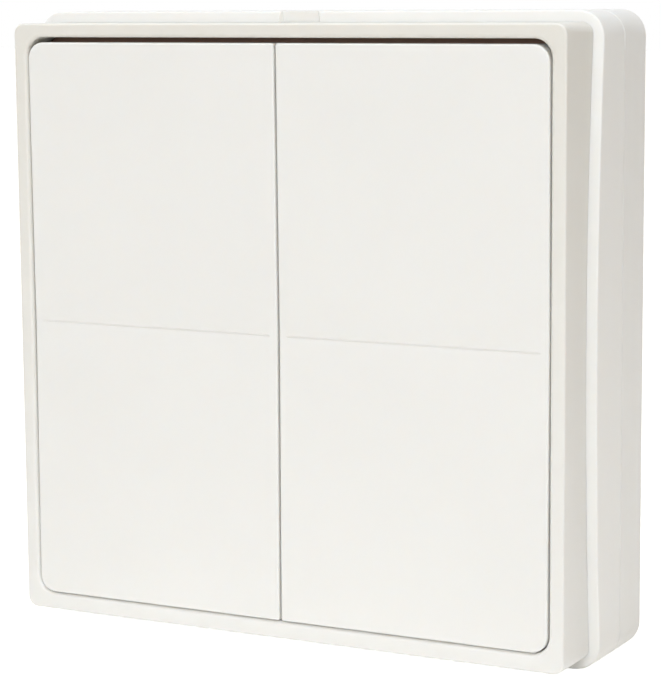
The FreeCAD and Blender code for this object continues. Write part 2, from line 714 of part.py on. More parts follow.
def make_rocker_carrier():
    body = new_body("rocker_carrier")
    add_layer(body, "plate", carrier_rear, carrier_front,
              lambda k: rounded_box(k, carrier_half_width, carrier_half_height, s.carrier_corner))
    rib_rear = carrier_rear - s.carrier_rib_height
    add_layer(body, "rib", rib_rear, carrier_rear,
              lambda k: rounded_box(k, carrier_half_width, carrier_half_height, s.carrier_corner))
    rib_inner_width = carrier_half_width - s.carrier_rib
    rib_inner_height = carrier_half_height - s.carrier_rib
    cut_layer(body, "rib_hollow", rib_rear, carrier_rear,
              lambda k: rectangle(k, -rib_inner_width, rib_inner_width, -rib_inner_height, rib_inner_height))
    add_layer(body, "legs", board_rear, carrier_rear, leg_squares)
    add_layer(body, "clamp_bars", board_front, carrier_rear, clamp_bars)
    cut_layer(body, "screw_holes", board_rear, carrier_front, lambda k: screw_circles(k, screw_hole))
    cut_layer(body, "plunger_guides", carrier_rear, carrier_front, plunger_guides)
    for side, sign in SIDES:
        for place, hand in (("outer", 1), ("inner", -1)):
            middle = sign * (rocker_centre + hand * post_offset)
            make_bearing_post(body, f"{side}_{place}", middle)
    return body


def make_bearing_post(body, name, middle):
    """Post with a snap bearing that a rocker's pin is pressed into."""
    low = middle - s.post_thickness / 2
    high = middle + s.post_thickness / 2
    mouth = pivot + s.post_radius
    bore = s.pin_radius + s.pin_fit
    add_across(body, name + "_post", low, high,
               lambda k: arch(k, -carrier_front + s.root_overlap, -pivot, s.post_radius))
    cut_across(body, name + "_bearing", low, high, lambda k: disc(k, -pivot, 0, bore))
    cut_across(body, name + "_snap_opening", low, high,
               lambda k: rectangle(k, -mouth - s.root_overlap, -pivot, -s.snap_width / 2, s.snap_width / 2))


# Rockers
def rocker_profile(sketch):
    """Side profile of a rocker: its face falls from both ends to the middle."""
    end = rocker_half_height
    polygon(sketch, [
        (-skirt_rear, -end),
        (-skirt_rear, end),
        (-s.total_depth, end),
        (-rocker_middle, size_of(0)),
        (-s.total_depth, -end),
    ])


def crease_profile(sketch):
    """Narrow notch at the middle of a rocker's face."""
    half = s.crease_width / 2
    outside = -rocker_middle - s.crease_depth
    polygon(sketch, [(outside, -half), (outside, half), (-rocker_middle + s.crease_depth, size_of(0))])


def make_rocker(side, sign):
    body = new_body("rocker_" + side)
    bind(body, "Placement.Base.x", sign * rocker_centre)
    half = rocker_width / 2
    add_across(body, "block", -half, half, rocker_profile)
    dress_edges(body, "PartDesign::Fillet", "frame_corners", s.rocker_corner,
                lambda e: runs_along_y(e) and e.CenterOfMass.x * sign > 0)
    dress_edges(body, "PartDesign::Fillet", "middle_corners", s.rocker_inner_corner,
                lambda e: runs_along_y(e) and e.CenterOfMass.x * sign < -half.value + 0.01)
    face = rocker_middle.value - 0.01
    dress_edges(body, "PartDesign::Chamfer", "front_edges", s.rocker_edge,
                lambda e: -e.BoundBox.YMax > face and abs(e.CenterOfMass.z) > 1)
    cut_across(body, "crease", -half + s.crease_margin, half - s.crease_margin, crease_profile)
    inner_width = half - s.rocker_wall
    inner_height = rocker_half_height - s.rocker_wall
    cut_layer(body, "hollow", skirt_rear, skin_rear,
              lambda k: rounded_box(k, inner_width, inner_height, s.rocker_corner / 2))
    for place, hand in (("right", 1), ("left", -1)):
        make_ear(body, place, hand)
    return body


def make_ear(body, place, hand):
    """Ear under a rocker, with the pin that turns in the bearing post beside it."""
    post_face = post_offset - s.post_thickness / 2
    outer = post_face - s.ear_gap
    inner = outer - s.ear_thickness
    pin_end = post_offset + s.post_thickness / 2
    low, high = (inner, outer) if hand > 0 else (-outer, -inner)
    pin_low, pin_high = (outer - s.root_overlap, pin_end) if hand > 0 else (-pin_end, -outer + s.root_overlap)
    add_across(body, place + "_ear", low, high,
               lambda k: arch(k, -skin_rear - s.root_overlap, -pivot, s.ear_radius))
    add_across(body, place + "_pin", pin_low, pin_high, lambda k: disc(k, -pivot, 0, s.pin_radius))


# Plungers
def make_plunger(side, side_sign, end, end_sign):
    body = new_body(f"plunger_{side}_{end}")
    bind(body, "Placement.Base.x", side_sign * rocker_centre)
    bind(body, "Placement.Base.z", end_sign * plunger_lever)
    centre = size_of(0)
    add_layer(body, "flange", flange_rear, flange_front, lambda k: square(k, centre, centre, s.flange_width))
    add_layer(body, "stem", flange_front, tip_front, lambda k: square(k, centre, centre, s.plunger_width))
    return body


# Contact mats
def dome_profile(sketch):
    """Half section of a hollow rubber dome, whose foot runs into the sheet."""
    ceiling = dome_top - s.dome_wall
    polygon(sketch, [
        (size_of(0), -dome_top),
        (size_of(0), -ceiling),
        (s.dome_cavity, -ceiling),
        (s.dome_cavity, -board_front),
        (s.dome_radius, -board_front),
        (s.dome_radius, -mat_front),
        (s.dome_top_radius, -dome_top),
    ])


def mat_openings(sketch):
    """Holes in a mat's sheet under its two domes."""
    for _, end in ENDS:
        disc(sketch, size_of(0), end * plunger_lever, (s.dome_radius + s.dome_cavity) / 2)


def make_contact_mat(side, sign):
    body = new_body("contact_mat_" + side)
    bind(body, "Placement.Base.x", sign * rocker_centre)
    half_height = board_half_height - s.mat_margin
    add_layer(body, "sheet", board_front, mat_front,
              lambda k: rounded_box(k, s.mat_width / 2, half_height, s.mat_corner))
    cut_layer(body, "openings", board_front, mat_front, mat_openings)
    for end, end_sign in ENDS:
        sketch = new_sketch(body, end + "_dome_section", "XY_Plane", end_sign * plunger_lever)
        dome_profile(sketch)
        add_feature(body, "PartDesign::Revolution", end + "_dome", sketch, True)
    return body


# Circuit board and what it carries
def make_circuit_board():
    body = new_body("circuit_board")
    add_layer(body, "board", board_rear, board_front,
              lambda k: rounded_box(k, board_half_width, board_half_height, s.board_corner))
    return body


def make_block(name, width, height, rise, place):
    """Moulded block on the board with bevelled front edges."""
    body = new_body(name)
    front = board_front + rise
    add_layer(body, "block", board_front, front,
              lambda k: rectangle(k, -width / 2, width / 2, place - height / 2, place + height / 2))
    dress_edges(body, "PartDesign::Chamfer", "bevel", s.part_edge, lambda e: at_depth(e, front))
    return body


def make_radio_module():
    """Small board with its shield can, soldered flat on the circuit board."""
    body = new_body("radio_module")
    half_width = s.module_width / 2
    middle = board_half_height - s.module_inset
    low = middle - s.module_height / 2
    high = middle + s.module_height / 2
    can_rear = board_front + s.module_board
    can_front = can_rear + s.module_can
    add_layer(body, "module_board", board_front, can_rear,
              lambda k: rectangle(k, -half_width, half_width, low, high))
    border = s.module_border
    add_layer(body, "shield", can_rear, can_front,
              lambda k: rectangle(k, -half_width + border, half_width - border, low + border, high - border))
    dress_edges(body, "PartDesign::Fillet", "shield_edge", s.part_edge, lambda e: at_depth(e, can_front))
    return body


def make_bent_strip(name, half_length, foot, crown, thickness, bend, half_width, middle):
    """Flat strip bent to a U about the Y axis: two legs from the foot level to the crown level."""
    body = new_body(name)
    inward = thickness if size_of(crown).value < size_of(foot).value else -thickness
    inner = half_length - thickness
    outline = new_sketch(body, "outline", "XY_Plane", middle - half_width)
    polygon(outline, [
        (-half_length, foot),
        (-half_length, crown),
        (half_length, crown),
        (half_length, foot),
        (inner, foot),
        (inner, crown + inward),
        (-inner, crown + inward),
        (-inner, foot),
    ])
    add_feature(body, "PartDesign::Pad", "strip", outline, True, Length=half_width * 2)
    for corner, level, radius in (("inner", crown + inward, bend - thickness), ("outer", crown, bend)):
        dress_edges(body, "PartDesign::Fillet", corner + "_bends", radius,
                    lambda e, level=level: abs(e.CenterOfMass.y - level.value) < TINY
                    and e.BoundBox.XLength < TINY and e.BoundBox.YLength < TINY)
    return body


def make_antenna_strip():
    """Stamped strip that stands over the board's upper edge on two legs."""
    return make_bent_strip("antenna_strip", board_half_width - s.antenna_margin, -board_front,
                           -(board_front + s.antenna_rise), s.antenna_thickness, s.antenna_bend,
                           s.antenna_width / 2, board_half_height - s.antenna_inset)


# Battery
def make_coin_cell():
    body = new_body("coin_cell")
    can_front = cell_front - s.cell_cap
    add_layer(body, "can", cell_rear, can_front, lambda k: disc(k, 0, 0, s.cell_radius))
    add_layer(body, "cap", can_front, cell_front, lambda k: disc(k, 0, 0, s.cell_cap_radius))
    return body


def make_battery_clip():
    """Strip that passes behind the cell, with both legs on the board."""
    return make_bent_strip("battery_clip_positive", s.cell_radius + s.clip_gap + s.clip_bend,
                           -board_rear, -(cell_rear - s.strip_thickness), s.strip_thickness,
                           s.clip_bend, s.clip_width / 2, size_of(0))


def make_battery_spring():
    """Bowed strip between the board and the cell's negative cap."""
    body = new_body("battery_contact_negative")
    thick = s.strip_thickness
    half = s.spring_span / 2
    knee = half - s.spring_foot
    crest = s.spring_foot
    board = -board_rear
    cell = -cell_front
    outline = new_sketch(body, "outline", "XY_Plane", -s.spring_width / 2)
    polygon(outline, [
        (-half, board),
        (-half, board + thick),
        (-knee, board + thick),
        (-crest, cell),
        (crest, cell),
        (knee, board + thick),
        (half, board + thick),
        (half, board),
        (knee, board),
        (crest, cell - thick),
        (-crest, cell - thick),
        (-knee, board),
    ])
    add_feature(body, "PartDesign::Pad", "strip", outline, True, Length=s.spring_width)
    return body


# Screws
def make_carrier_screws():
    """Four equal pan head screws, kept together as one group."""
    screws = []
    length = s.screw_length + s.screw_head_height
    for side, side_sign in SIDES:
        for end, end_sign in ENDS:
            name = f"screw_{side}_{end}"
            shank = turned_cylinder(name + "_shank", s.screw_radius, length, side_sign, end_sign,
                                    carrier_front - s.screw_length)
            head = turned_cylinder(name + "_head", s.screw_head_radius, s.screw_head_height,
                                   side_sign, end_sign, carrier_front)
            screw = doc.addObject("Part::Fuse", name)
            screw.Base = shank
            screw.Tool = head
            screws.append(screw)
    group = doc.addObject("Part::Compound", "carrier_screws")
    group.Label = "carrier_screws"
    group.Links = screws
    return group


def turned_cylinder(name, radius, length, side, end, rear):
    """Cylinder towards the front at one of the four screw places."""
    cylinder = doc.addObject("Part::Cylinder", name)
    bind(cylinder, "Radius", radius)
    bind(cylinder, "Height", length)
    turn = FreeCAD.Rotation(FreeCAD.Vector(1, 0, 0), 90)
    cylinder.Placement = FreeCAD.Placement(FreeCAD.Vector(0, 0, 0), turn)
    bind(cylinder, "Placement.Base.x", side * screw_x)
    bind(cylinder, "Placement.Base.y", -rear)
    bind(cylinder, "Placement.Base.z", end * screw_z)
    return cylinder


def make_all():
    """Every sub-part of the switch, from the front to the wall."""
    parts = [make_front_frame(), make_base_housing(), make_wall_plate(), make_rocker_carrier()]
    for side, sign in SIDES:
        parts.append(make_rocker(side, sign))
        parts.append(make_contact_mat(side, sign))
        for end, end_sign in ENDS:
            parts.append(make_plunger(side, sign, end, end_sign))
    parts.append(make_circuit_board())
    parts.append(make_radio_module())
    parts.append(make_block("controller_chip", s.chip_side, s.chip_side, s.chip_height, s.chip_place))
    parts.append(make_block("crystal", s.crystal_width, s.crystal_height, s.crystal_rise, s.crystal_place))
    parts.append(make_block("reservoir_capacitor", s.capacitor_width, s.capacitor_height,
                            s.capacitor_rise, s.capacitor_inset - board_half_height))
    parts.append(make_antenna_strip())
    parts.append(make_coin_cell())
    parts.append(make_battery_clip())
    parts.append(make_battery_spring())
    parts.append(make_carrier_screws())
    return parts


def check_document(parts):
    """Stop if a feature failed or a sub-part has no valid shape."""
    doc.recompute()
    for item in doc.Objects:
        if "Invalid" in item.State or "Error" in item.State:
            raise RuntimeError(f"{item.Name} failed")
    for part in parts:
        shape = part.Shape
        if shape.isNull() or not shape.isValid() or not shape.Solids:
            raise RuntimeError(f"{part.Label} has no valid solid")
        print(f"{part.Label}: {len(shape.Solids)} solid, volume {shape.Volume:.1f} mm3")


def export(parts):
    os.makedirs("parts", exist_ok=True)
    for part in parts:
        part.Shape.exportStep(f"parts/{part.Label}.step")


all_parts = make_all()
check_document(all_parts)
export(all_parts)
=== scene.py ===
import math
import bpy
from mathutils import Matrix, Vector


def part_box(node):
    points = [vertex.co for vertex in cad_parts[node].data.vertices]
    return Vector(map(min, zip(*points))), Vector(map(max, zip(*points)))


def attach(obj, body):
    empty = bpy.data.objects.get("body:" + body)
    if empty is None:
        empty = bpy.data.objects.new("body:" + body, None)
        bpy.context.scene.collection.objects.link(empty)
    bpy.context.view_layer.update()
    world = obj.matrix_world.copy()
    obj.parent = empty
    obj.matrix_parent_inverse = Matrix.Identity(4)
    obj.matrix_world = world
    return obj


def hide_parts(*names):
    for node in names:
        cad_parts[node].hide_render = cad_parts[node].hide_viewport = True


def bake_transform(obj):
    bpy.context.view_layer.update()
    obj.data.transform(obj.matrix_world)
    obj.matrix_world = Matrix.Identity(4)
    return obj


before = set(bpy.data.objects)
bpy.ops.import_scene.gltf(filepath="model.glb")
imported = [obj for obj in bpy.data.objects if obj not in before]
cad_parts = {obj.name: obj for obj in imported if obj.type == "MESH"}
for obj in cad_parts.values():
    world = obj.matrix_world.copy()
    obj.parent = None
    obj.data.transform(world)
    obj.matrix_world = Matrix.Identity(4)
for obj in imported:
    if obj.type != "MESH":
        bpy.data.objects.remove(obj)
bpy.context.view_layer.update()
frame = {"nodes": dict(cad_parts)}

from types import SimpleNamespace

import bmesh
import bpy
from mathutils import Vector
from mathutils.geometry import delaunay_2d_cdt

bl_info = {
    "name": "Wireless wall switch",
    "version": (1, 0, 0),
    "blender": (4, 5, 0),
    "location": "View3D > Sidebar > Wall switch",
    "description": "Dresses the packed wall switch piece by piece and sets up its studio",
    "category": "Object",
}

# The switch hangs on the wall Y = 0 and faces -Y. A distance d from the wall lies at Y = -d.
# Sizes are in millimetres; meshes, lamps and the camera are placed in metres.
MM = 0.001
CORNER_STEPS = 8
SIDE_STEPS = 12
EDGE_STEPS = 4
ROUND_STEPS = 48
CUT_PAST = 1.0
SMOOTH_BELOW = math.radians(35)
SIDES = (("left", -1), ("right", 1))
ENDS = (("upper", 1), ("lower", -1))


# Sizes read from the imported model
def depth_of(node, front=True):
    """Distance from the wall of a node's front or back, in millimetres."""
    low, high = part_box(node)
    return -(low.y if front else high.y) / MM


def half_of(node):
    """Half the width of a centred node, in millimetres."""
    low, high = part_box(node)
    return (high.x - low.x) / 2 / MM


FRAME_HALF = half_of("front_frame")
BASE_HALF = half_of("wall_plate")
FRONT = depth_of("front_frame")
FLOOR_FRONT = depth_of("front_frame", front=False)
BOARD_REAR = depth_of("circuit_board", front=False)
BOARD_FRONT = depth_of("circuit_board")
SEAM = depth_of("base_housing", front=False)
DOME_TOP = depth_of("contact_mat_left")
MAT_HALF_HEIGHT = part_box("contact_mat_left")[1].z / MM

# Front frame
FRAME_CORNER = 1.5
# Painted shade: the frame's tone is multiplied by this at its top, and less and less towards its
# foot, so its upper bar looks darker as if less lit.
FRAME_PAINTED_TOP_SHADE = (0.93, 0.915, 0.88)
OPENING_HALF = FRAME_HALF - 1.9
OPENING_CORNER = 2.5
SILL = 0.35
SKIRT_HALF = FRAME_HALF - 1.4
LIP_REAR = FRONT - 4.5

# Light that spreads in the white plastic makes the narrow gaps look tighter than they are built,
# so they are drawn tighter by these: the opening at its sides and below, and each rocker all round.
OPENING_TIGHTER = 0.22
OPENING_TIGHTER_BELOW = 0.12
ROCKER_LARGER = 0.08

# Base housing. Its rim's front lies on a shallow dome.
BASE_CORNER = 3.5
RIM_FRONT = FRONT - 6.9
RIM_INNER = FRAME_HALF + 0.01
CROWN_RADIUS = 486.0
CROWN_TOP = RIM_FRONT + FRAME_HALF ** 2 / (2 * CROWN_RADIUS)
FLOOR_REAR = FLOOR_FRONT - 1.5
CELL_WINDOW_RADIUS = 12.6
NOTCH_HALF_FLOOR = 2.7
NOTCH_HALF_TOP = 3.6
NOTCH_DEPTH = 0.7
NOTCH_SLOPE = 0.14
NOTCH_TOP = RIM_FRONT + 0.6
NOTCH_END = BASE_HALF + 0.5
CATCH_HALF_WIDTH = 4.2
CATCH_FACE = SKIRT_HALF - 0.4
CATCH_BACK = CATCH_FACE - 1.3
CATCH_NOSE = CATCH_FACE + 0.6
CATCH_NOSE_RISE = 0.4
CATCH_NOSE_DEPTH = 0.8
CATCH_TIP = FLOOR_FRONT + 2.1
CATCH_FIT = 0.1
ROOT_OVERLAP = 0.4

# Wall plate
PLATE_THICKNESS = 1.8
PLATE_WALL = 2.2
LIP_FRONT = 9.07
SLOT_OFFSET = 30.0
SLOT_LENGTH = 8.0
SLOT_WIDTH = 4.2
HOOK_OFFSET = FRAME_HALF - 19.5
HOOK_HALF_WIDTH = 4.0
HOOK_OUTER = FRAME_HALF - 3.5
HOOK_INNER = HOOK_OUTER - 1.4
HOOK_NOSE = 0.65
HOOK_HOLD = FLOOR_FRONT + 0.05
HOOK_ROOT = 1.4
HOOK_FIT = 0.15
HOOK_SPRING = 0.95

# Rockers
ROCKER_HALF_HEIGHT = OPENING_HALF - 0.7
ROCKER_OUTER = OPENING_HALF - 0.5
ROCKER_HALF_WIDTH = (ROCKER_OUTER - 0.225) / 2
ROCKER_CENTRE = ROCKER_OUTER - ROCKER_HALF_WIDTH
ROCKER_CORNER = 2.3
ROCKER_INNER_CORNER = 0.35
LEAST_CORNER = 0.03
ROCKER_WALL = 1.3
ROCKER_HOLLOW_CORNER = 1.0
ROCKER_DIP = 0.3
SKIN_REAR = FRONT - ROCKER_DIP - 1.5
SKIRT_REAR = FRONT - 3.9
CREASE_MARGIN = 1.0
CREASE_TAPER = 0.4
PIVOT = SKIN_REAR - 1.9
PIN_RADIUS = 1.0
EAR_RADIUS = 1.8
EAR_THICKNESS = 1.4
POST_PLACE = ROCKER_HALF_WIDTH - 4.8
POST_HALF_THICKNESS = 1.0
EAR_GAP = 0.25

# Carrier screws, and the ribs under the board that take them
SCREW_X = SKIRT_HALF - 6.9
SCREW_Z = SKIRT_HALF - 8.4
LEG_HALF_WIDTH = 2.6
RIB_REACH = 5.2
RIB_ROOT = 0.1

# Contact mats and their domes
MAT_HALF_WIDTH = 7.0
MAT_CORNER = 1.5
SHEET_FRONT = BOARD_FRONT + 0.6
DOME_CEILING = DOME_TOP - 0.6
DOME_RADIUS = 4.6
DOME_TOP_RADIUS = 2.2
DOME_CAVITY = 2.8
DOME_STEPS = 4
LEVER = 27.0

# Studio, in metres, watts and degrees
FLOOR_HALF = 3.0
FLOOR_LEVEL = -BASE_HALF * MM - 0.0001
FLOOR_GLOW = 0.85
SURROUNDINGS_COLOUR = (1.0, 0.9, 0.79, 1)
SURROUNDINGS_IN_FRONT = 0.47
SURROUNDINGS_BEHIND = 0.26
LAMPS = (
    # name, place, target, width, height, power, tint
    ("soft_overhead", (0.03, -0.23, 1.1), (0, 0, 0), 0.5, 0.5, 7.4, (0.92, 1.0, 1.08)),
    ("soft_front", (0.284, -1.139, 0.249), (0, 0, 0), 0.4, 0.4, 3.9, (0.95, 1.0, 1.05)),
    ("low_fill", (0.12, -0.015, -0.035), (0.043, -0.015, -0.035), 0.06, 0.02, 0.0035,
     (1.0, 1.0, 1.0)),
)
CAMERA_PLACE = (0.159065, -0.306619, 0.045596)
CAMERA_TURN = (81.880, 0.4356, 28.008)
CAMERA_LENS = 133.68
CAMERA_SENSOR = 36.0


# Colours
def linear(text):
    """An sRGB hex colour as a linear triple."""
    def channel(pair):
        value = int(pair, 16) / 255
        return value / 12.92 if value <= 0.04045 else ((value + 0.055) / 1.055) ** 2.4
    return tuple(channel(text[i:i + 2]) for i in (0, 2, 4))


def size(name, description, default):
    """A length that a user may change. Its default is in millimetres, and it is kept in metres."""
    return bpy.props.FloatProperty(name=name, description=description, default=default * MM,
                                   min=0.0, max=5 * MM, subtype="DISTANCE", unit="LENGTH",
                                   precision=5)


def colour(name, description, text):
    """A colour that a user may change."""
    return bpy.props.FloatVectorProperty(name=name, description=description, default=linear(text),
                                         subtype="COLOR", size=3, min=0.0, max=1.0)


class SwitchSizes(bpy.types.PropertyGroup):
    frame_edge: size("Frame edge", "Rounding of the frame's outer front edge", 0.3)
    opening_edge: size("Opening edge", "Rounding of the opening's front edge", 0.6)
    rim_edge: size("Rim edge", "Rounding of the base rim's outer edge", 0.25)
    rear_edge: size("Rear edge", "Rounding of the wall plate's rear edge", 0.3)
    seam_edge: size("Seam bevel", "Bevel of the wall plate at the parting line", 0.3)
    seam_shadow: size("Seam shadow", "Bevel of the base housing at the parting line", 0.04)
    rocker_edge: size("Rocker edge", "Rounding of the rockers' front edges", 0.25)
    crease_width: size("Crease width", "Width of the line across a rocker", 0.56)
    crease_depth: size("Crease depth", "Depth of the line across a rocker", 0.17)


class SwitchColours(bpy.types.PropertyGroup):
    rocker: colour("Rockers", "White of the two rockers", "EFEEEB")
    frame: colour("Frame", "White of the front frame", "EEEDEA")
    housing: colour("Base", "White of the base housing", "F1F0ED")
    plate: colour("Wall plate", "White of the wall plate", "ECEBE8")
    # Painted shade: the real carrier is given this brown so that the deep top gap above the rockers
    # shows the warm dark tint of its shade.
    carrier: colour("Carrier", "Brown of the rocker carrier", "B08A76")
    floor: colour("Floor", "Pale floor of the studio", "F3F1ED")


# Meshes
def link(obj):
    bpy.context.scene.collection.objects.link(obj)
    return obj


def corner_arc(centre_x, centre_z, radius, start):
    """Points of a quarter circle that starts at an angle in degrees and runs anticlockwise."""
    points = []
    for i in range(CORNER_STEPS + 1):
        angle = math.radians(start + 90 * i / CORNER_STEPS)
        points.append((centre_x + radius * math.cos(angle), centre_z + radius * math.sin(angle)))
    return points


def rounded_outline(half_x, half_z, right, left=None, centre_x=0.0, centre_z=0.0):
    """Outline of a rectangle in X and Z with round corners, and with points along its sides too."""
    left = right if left is None else left
    high_x, low_x = centre_x + half_x, centre_x - half_x
    high_z, low_z = centre_z + half_z, centre_z - half_z
    corners = [
        corner_arc(high_x - right, high_z - right, right, 0),
        corner_arc(low_x + left, high_z - left, left, 90),
        corner_arc(low_x + left, low_z + left, left, 180),
        corner_arc(high_x - right, low_z + right, right, 270),
    ]
    outline = []
    for i, corner in enumerate(corners):
        outline += corner
        start = Vector(corner[-1])
        end = Vector(corners[(i + 1) % 4][0])
        outline += [tuple(start.lerp(end, k / SIDE_STEPS)) for k in range(1, SIDE_STEPS)]
    return outline


def ring(outline, depth):
    """An outline in space. The depth is a distance from the wall, or a function of X and Z."""
    place = depth if callable(depth) else lambda x, z: depth
    return [Vector((x, -place(x, z), z)) * MM for x, z in outline]


def rounding(size_mm):
    """Steps of a rounded edge: how far each lies inwards, and how far behind the front."""
    steps = []
    for i in range(EDGE_STEPS + 1):
        angle = math.pi / 2 * i / EDGE_STEPS
        steps.append((size_mm * (1 - math.cos(angle)), size_mm * (1 - math.sin(angle))))
    return steps


def add_loft(bm, rings, closed=False, cap_last=True):
    """Skin over rings of equal length. A closed one runs from the last ring back to the first."""
    rows = [[bm.verts.new(point) for point in one] for one in rings]
    pairs = list(zip(rows, rows[1:]))
    if closed:
        pairs.append((rows[-1], rows[0]))
    for a, b in pairs:
        for i in range(len(a)):
            j = (i + 1) % len(a)
            bm.faces.new((a[i], a[j], b[j], b[i]))
    if not closed:
        bm.faces.new(rows[0][::-1])
        if cap_last:
            bm.faces.new(rows[-1])


def add_prism(bm, low, high, outline, across):
    """Solid with an outline, drawn out between two places. The outline is in Y and Z
    where it is drawn out across X, and otherwise in X and Z."""
    def at(place, u, v):
        if across:
            return Vector((place, u, v)) * MM
        return Vector((u, -place, v)) * MM
    add_loft(bm, [[at(low, u, v) for u, v in outline], [at(high, u, v) for u, v in outline]])


def add_box(bm, x, z, rear, front):
    """Box between two values in X, two in Z and two distances from the wall."""
    outline = [(x[0], z[0]), (x[1], z[0]), (x[1], z[1]), (x[0], z[1])]
    add_prism(bm, rear, front, outline, across=False)


def circle(centre_u, centre_v, radius, steps=24, start=0.0, turn=360.0):
    """Points on a circle, or on part of one."""
    count = steps if turn == 360.0 else steps + 1
    points = []
    for i in range(count):
        angle = math.radians(start + turn * i / steps)
        points.append((centre_u + radius * math.cos(angle), centre_v + radius * math.sin(angle)))
    return points


def slot_outline(x, z, upright):
    """Outline of a screw slot with round ends."""
    reach = (SLOT_LENGTH - SLOT_WIDTH) / 2
    radius = SLOT_WIDTH / 2

    def half_circle(centre_x, centre_z, start):
        return circle(centre_x, centre_z, radius, steps=10, start=start, turn=180)

    if upright:
        return half_circle(x, z + reach, 0) + half_circle(x, z - reach, 180)
    return half_circle(x - reach, z, 90) + half_circle(x + reach, z, 270)


def as_object(name, bm):
    """The finished bmesh as an object, with its faces turned outwards."""
    bmesh.ops.remove_doubles(bm, verts=bm.verts, dist=1e-7)
    bmesh.ops.recalc_face_normals(bm, faces=bm.faces)
    mesh = bpy.data.meshes.new(name)
    bm.to_mesh(mesh)
    bm.free()
    return link(bpy.data.objects.new(name, mesh))


def cut(obj, cutter_bm):
    """Cuts the solids of a bmesh out of an object."""
    cutter = as_object(obj.name + "_cutter", cutter_bm)
    change = obj.modifiers.new("cut", "BOOLEAN")
    change.operation = "DIFFERENCE"
    change.solver = "EXACT"
    change.object = cutter
    depsgraph = bpy.context.evaluated_depsgraph_get()
    mesh = bpy.data.meshes.new_from_object(obj.evaluated_get(depsgraph))
    obj.modifiers.remove(change)
    old = obj.data
    obj.data = mesh
    mesh.name = obj.name
    bpy.data.meshes.remove(old)
    spare = cutter.data
    bpy.data.objects.remove(cutter)
    bpy.data.meshes.remove(spare)


def add_shells(obj, bm):
    """Adds the closed shells of a bmesh to an object."""
    bmesh.ops.recalc_face_normals(bm, faces=bm.faces)
    bm.from_mesh(obj.data)
    bm.to_mesh(obj.data)
    bm.free()


def finish_piece(obj, material, body, slot, *nodes):
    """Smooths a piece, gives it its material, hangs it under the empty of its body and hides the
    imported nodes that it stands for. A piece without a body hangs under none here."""
    obj.data.materials.clear()
    obj.data.materials.append(material)
    obj.data.shade_smooth()
    obj.data.set_sharp_from_angle(angle=SMOOTH_BELOW)
    weighted = obj.modifiers.new("weighted_normals", "WEIGHTED_NORMAL")
    weighted.keep_sharp = True
    if body:
        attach(obj, body)
    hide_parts(*nodes)


# Materials
def add(tree, kind, settings=None, **inputs):
    """Adds a node. Each input is a value, or another node's output that is linked to it.
    i0 is the first input, and the others go by their names, with _ for a space."""
    node = tree.nodes.new(kind)
    for key, value in (settings or {}).items():
        setattr(node, key, value)
    for key, value in inputs.items():
        by_number = key[0] == "i" and key[1:].isdigit()
        socket = node.inputs[int(key[1:]) if by_number else key.replace("_", " ")]
        if isinstance(value, bpy.types.NodeSocket):
            tree.links.new(value, socket)
        else:
            socket.default_value = value
    return node


def new_material(name):
    material = bpy.data.materials.new(name)
    material.use_nodes = True
    material.node_tree.nodes.clear()
    return material, material.node_tree


def spread(tree, value, low, high):
    """A 0 to 1 value as a value between two limits."""
    node = add(tree, "ShaderNodeMapRange", i0=value, i3=low, i4=high)
    return node.outputs[0]


def tinted(tree, value, dark, light):
    """Blend of two linear colours by a 0 to 1 value."""
    node = add(tree, "ShaderNodeMix", {"data_type": "RGBA"}, i0=value, i6=(*dark, 1),
               i7=(*light, 1))
    return node.outputs[2]


def finish_material(tree, **inputs):
    shader = add(tree, "ShaderNodeBsdfPrincipled", **inputs)
    add(tree, "ShaderNodeOutputMaterial", Surface=shader.outputs[0])


def noise(tree, place, size_mm, detail=2.0, roughness=0.5):
    """Noise whose lumps are about as wide as a size in millimetres."""
    node = add(tree, "ShaderNodeTexNoise", Vector=place, Scale=1 / (size_mm * MM),
               Detail=detail, Roughness=roughness)
    return node.outputs[0]


def moulded_plastic(name, base, rough, grain_mm, grain_height_mm, variation=0.012,
                    depth_weight=0.0, painted_top_shade=(1.0, 1.0, 1.0)):
    """Injection-moulded plastic from a spark-eroded tool. The eye gets an even satin, a slow
    cloud in its tone where the melt cooled, and a grain that only shows as a soft edge on the
    highlights. A white one lets light in for about half a millimetre, which keeps its narrow
    gaps pale. Its tone is multiplied by a painted top shade, fully at the top and less and less
    towards the foot, which darkens the upper part as if less lit."""
    material, tree = new_material(name)
    place = add(tree, "ShaderNodeTexCoord").outputs["Object"]
    cloud = noise(tree, place, 18.0, detail=3.0)
    grain = noise(tree, place, grain_mm, detail=2.0, roughness=0.6)
    dark = tuple(c * (1 - variation) for c in base)
    light = tuple(min(1.0, c * (1 + variation)) for c in base)
    bump = add(tree, "ShaderNodeBump", Strength=0.35, Distance=grain_height_mm * MM,
               Height=grain)
    # Painted shade: the tone goes from plain at the foot to the painted top shade at the top.
    height = add(tree, "ShaderNodeSeparateXYZ", i0=place).outputs[2]
    rise = add(tree, "ShaderNodeMapRange", i0=height, i1=-BASE_HALF * MM,
               i2=BASE_HALF * MM).outputs[0]
    shade = add(tree, "ShaderNodeMix", {"data_type": "RGBA", "blend_type": "MULTIPLY"}, i0=1.0,
                i6=tinted(tree, cloud, dark, light),
                i7=tinted(tree, rise, (1.0, 1.0, 1.0), painted_top_shade))
    finish_material(tree, Base_Color=shade.outputs[2],
                    Roughness=spread(tree, grain, rough - 0.05, rough + 0.05),
                    IOR=1.54, Subsurface_Weight=depth_weight, Subsurface_Scale=0.6 * MM,
                    Subsurface_Radius=(1.0, 0.9, 0.8), Normal=bump.outputs[0])
    return material


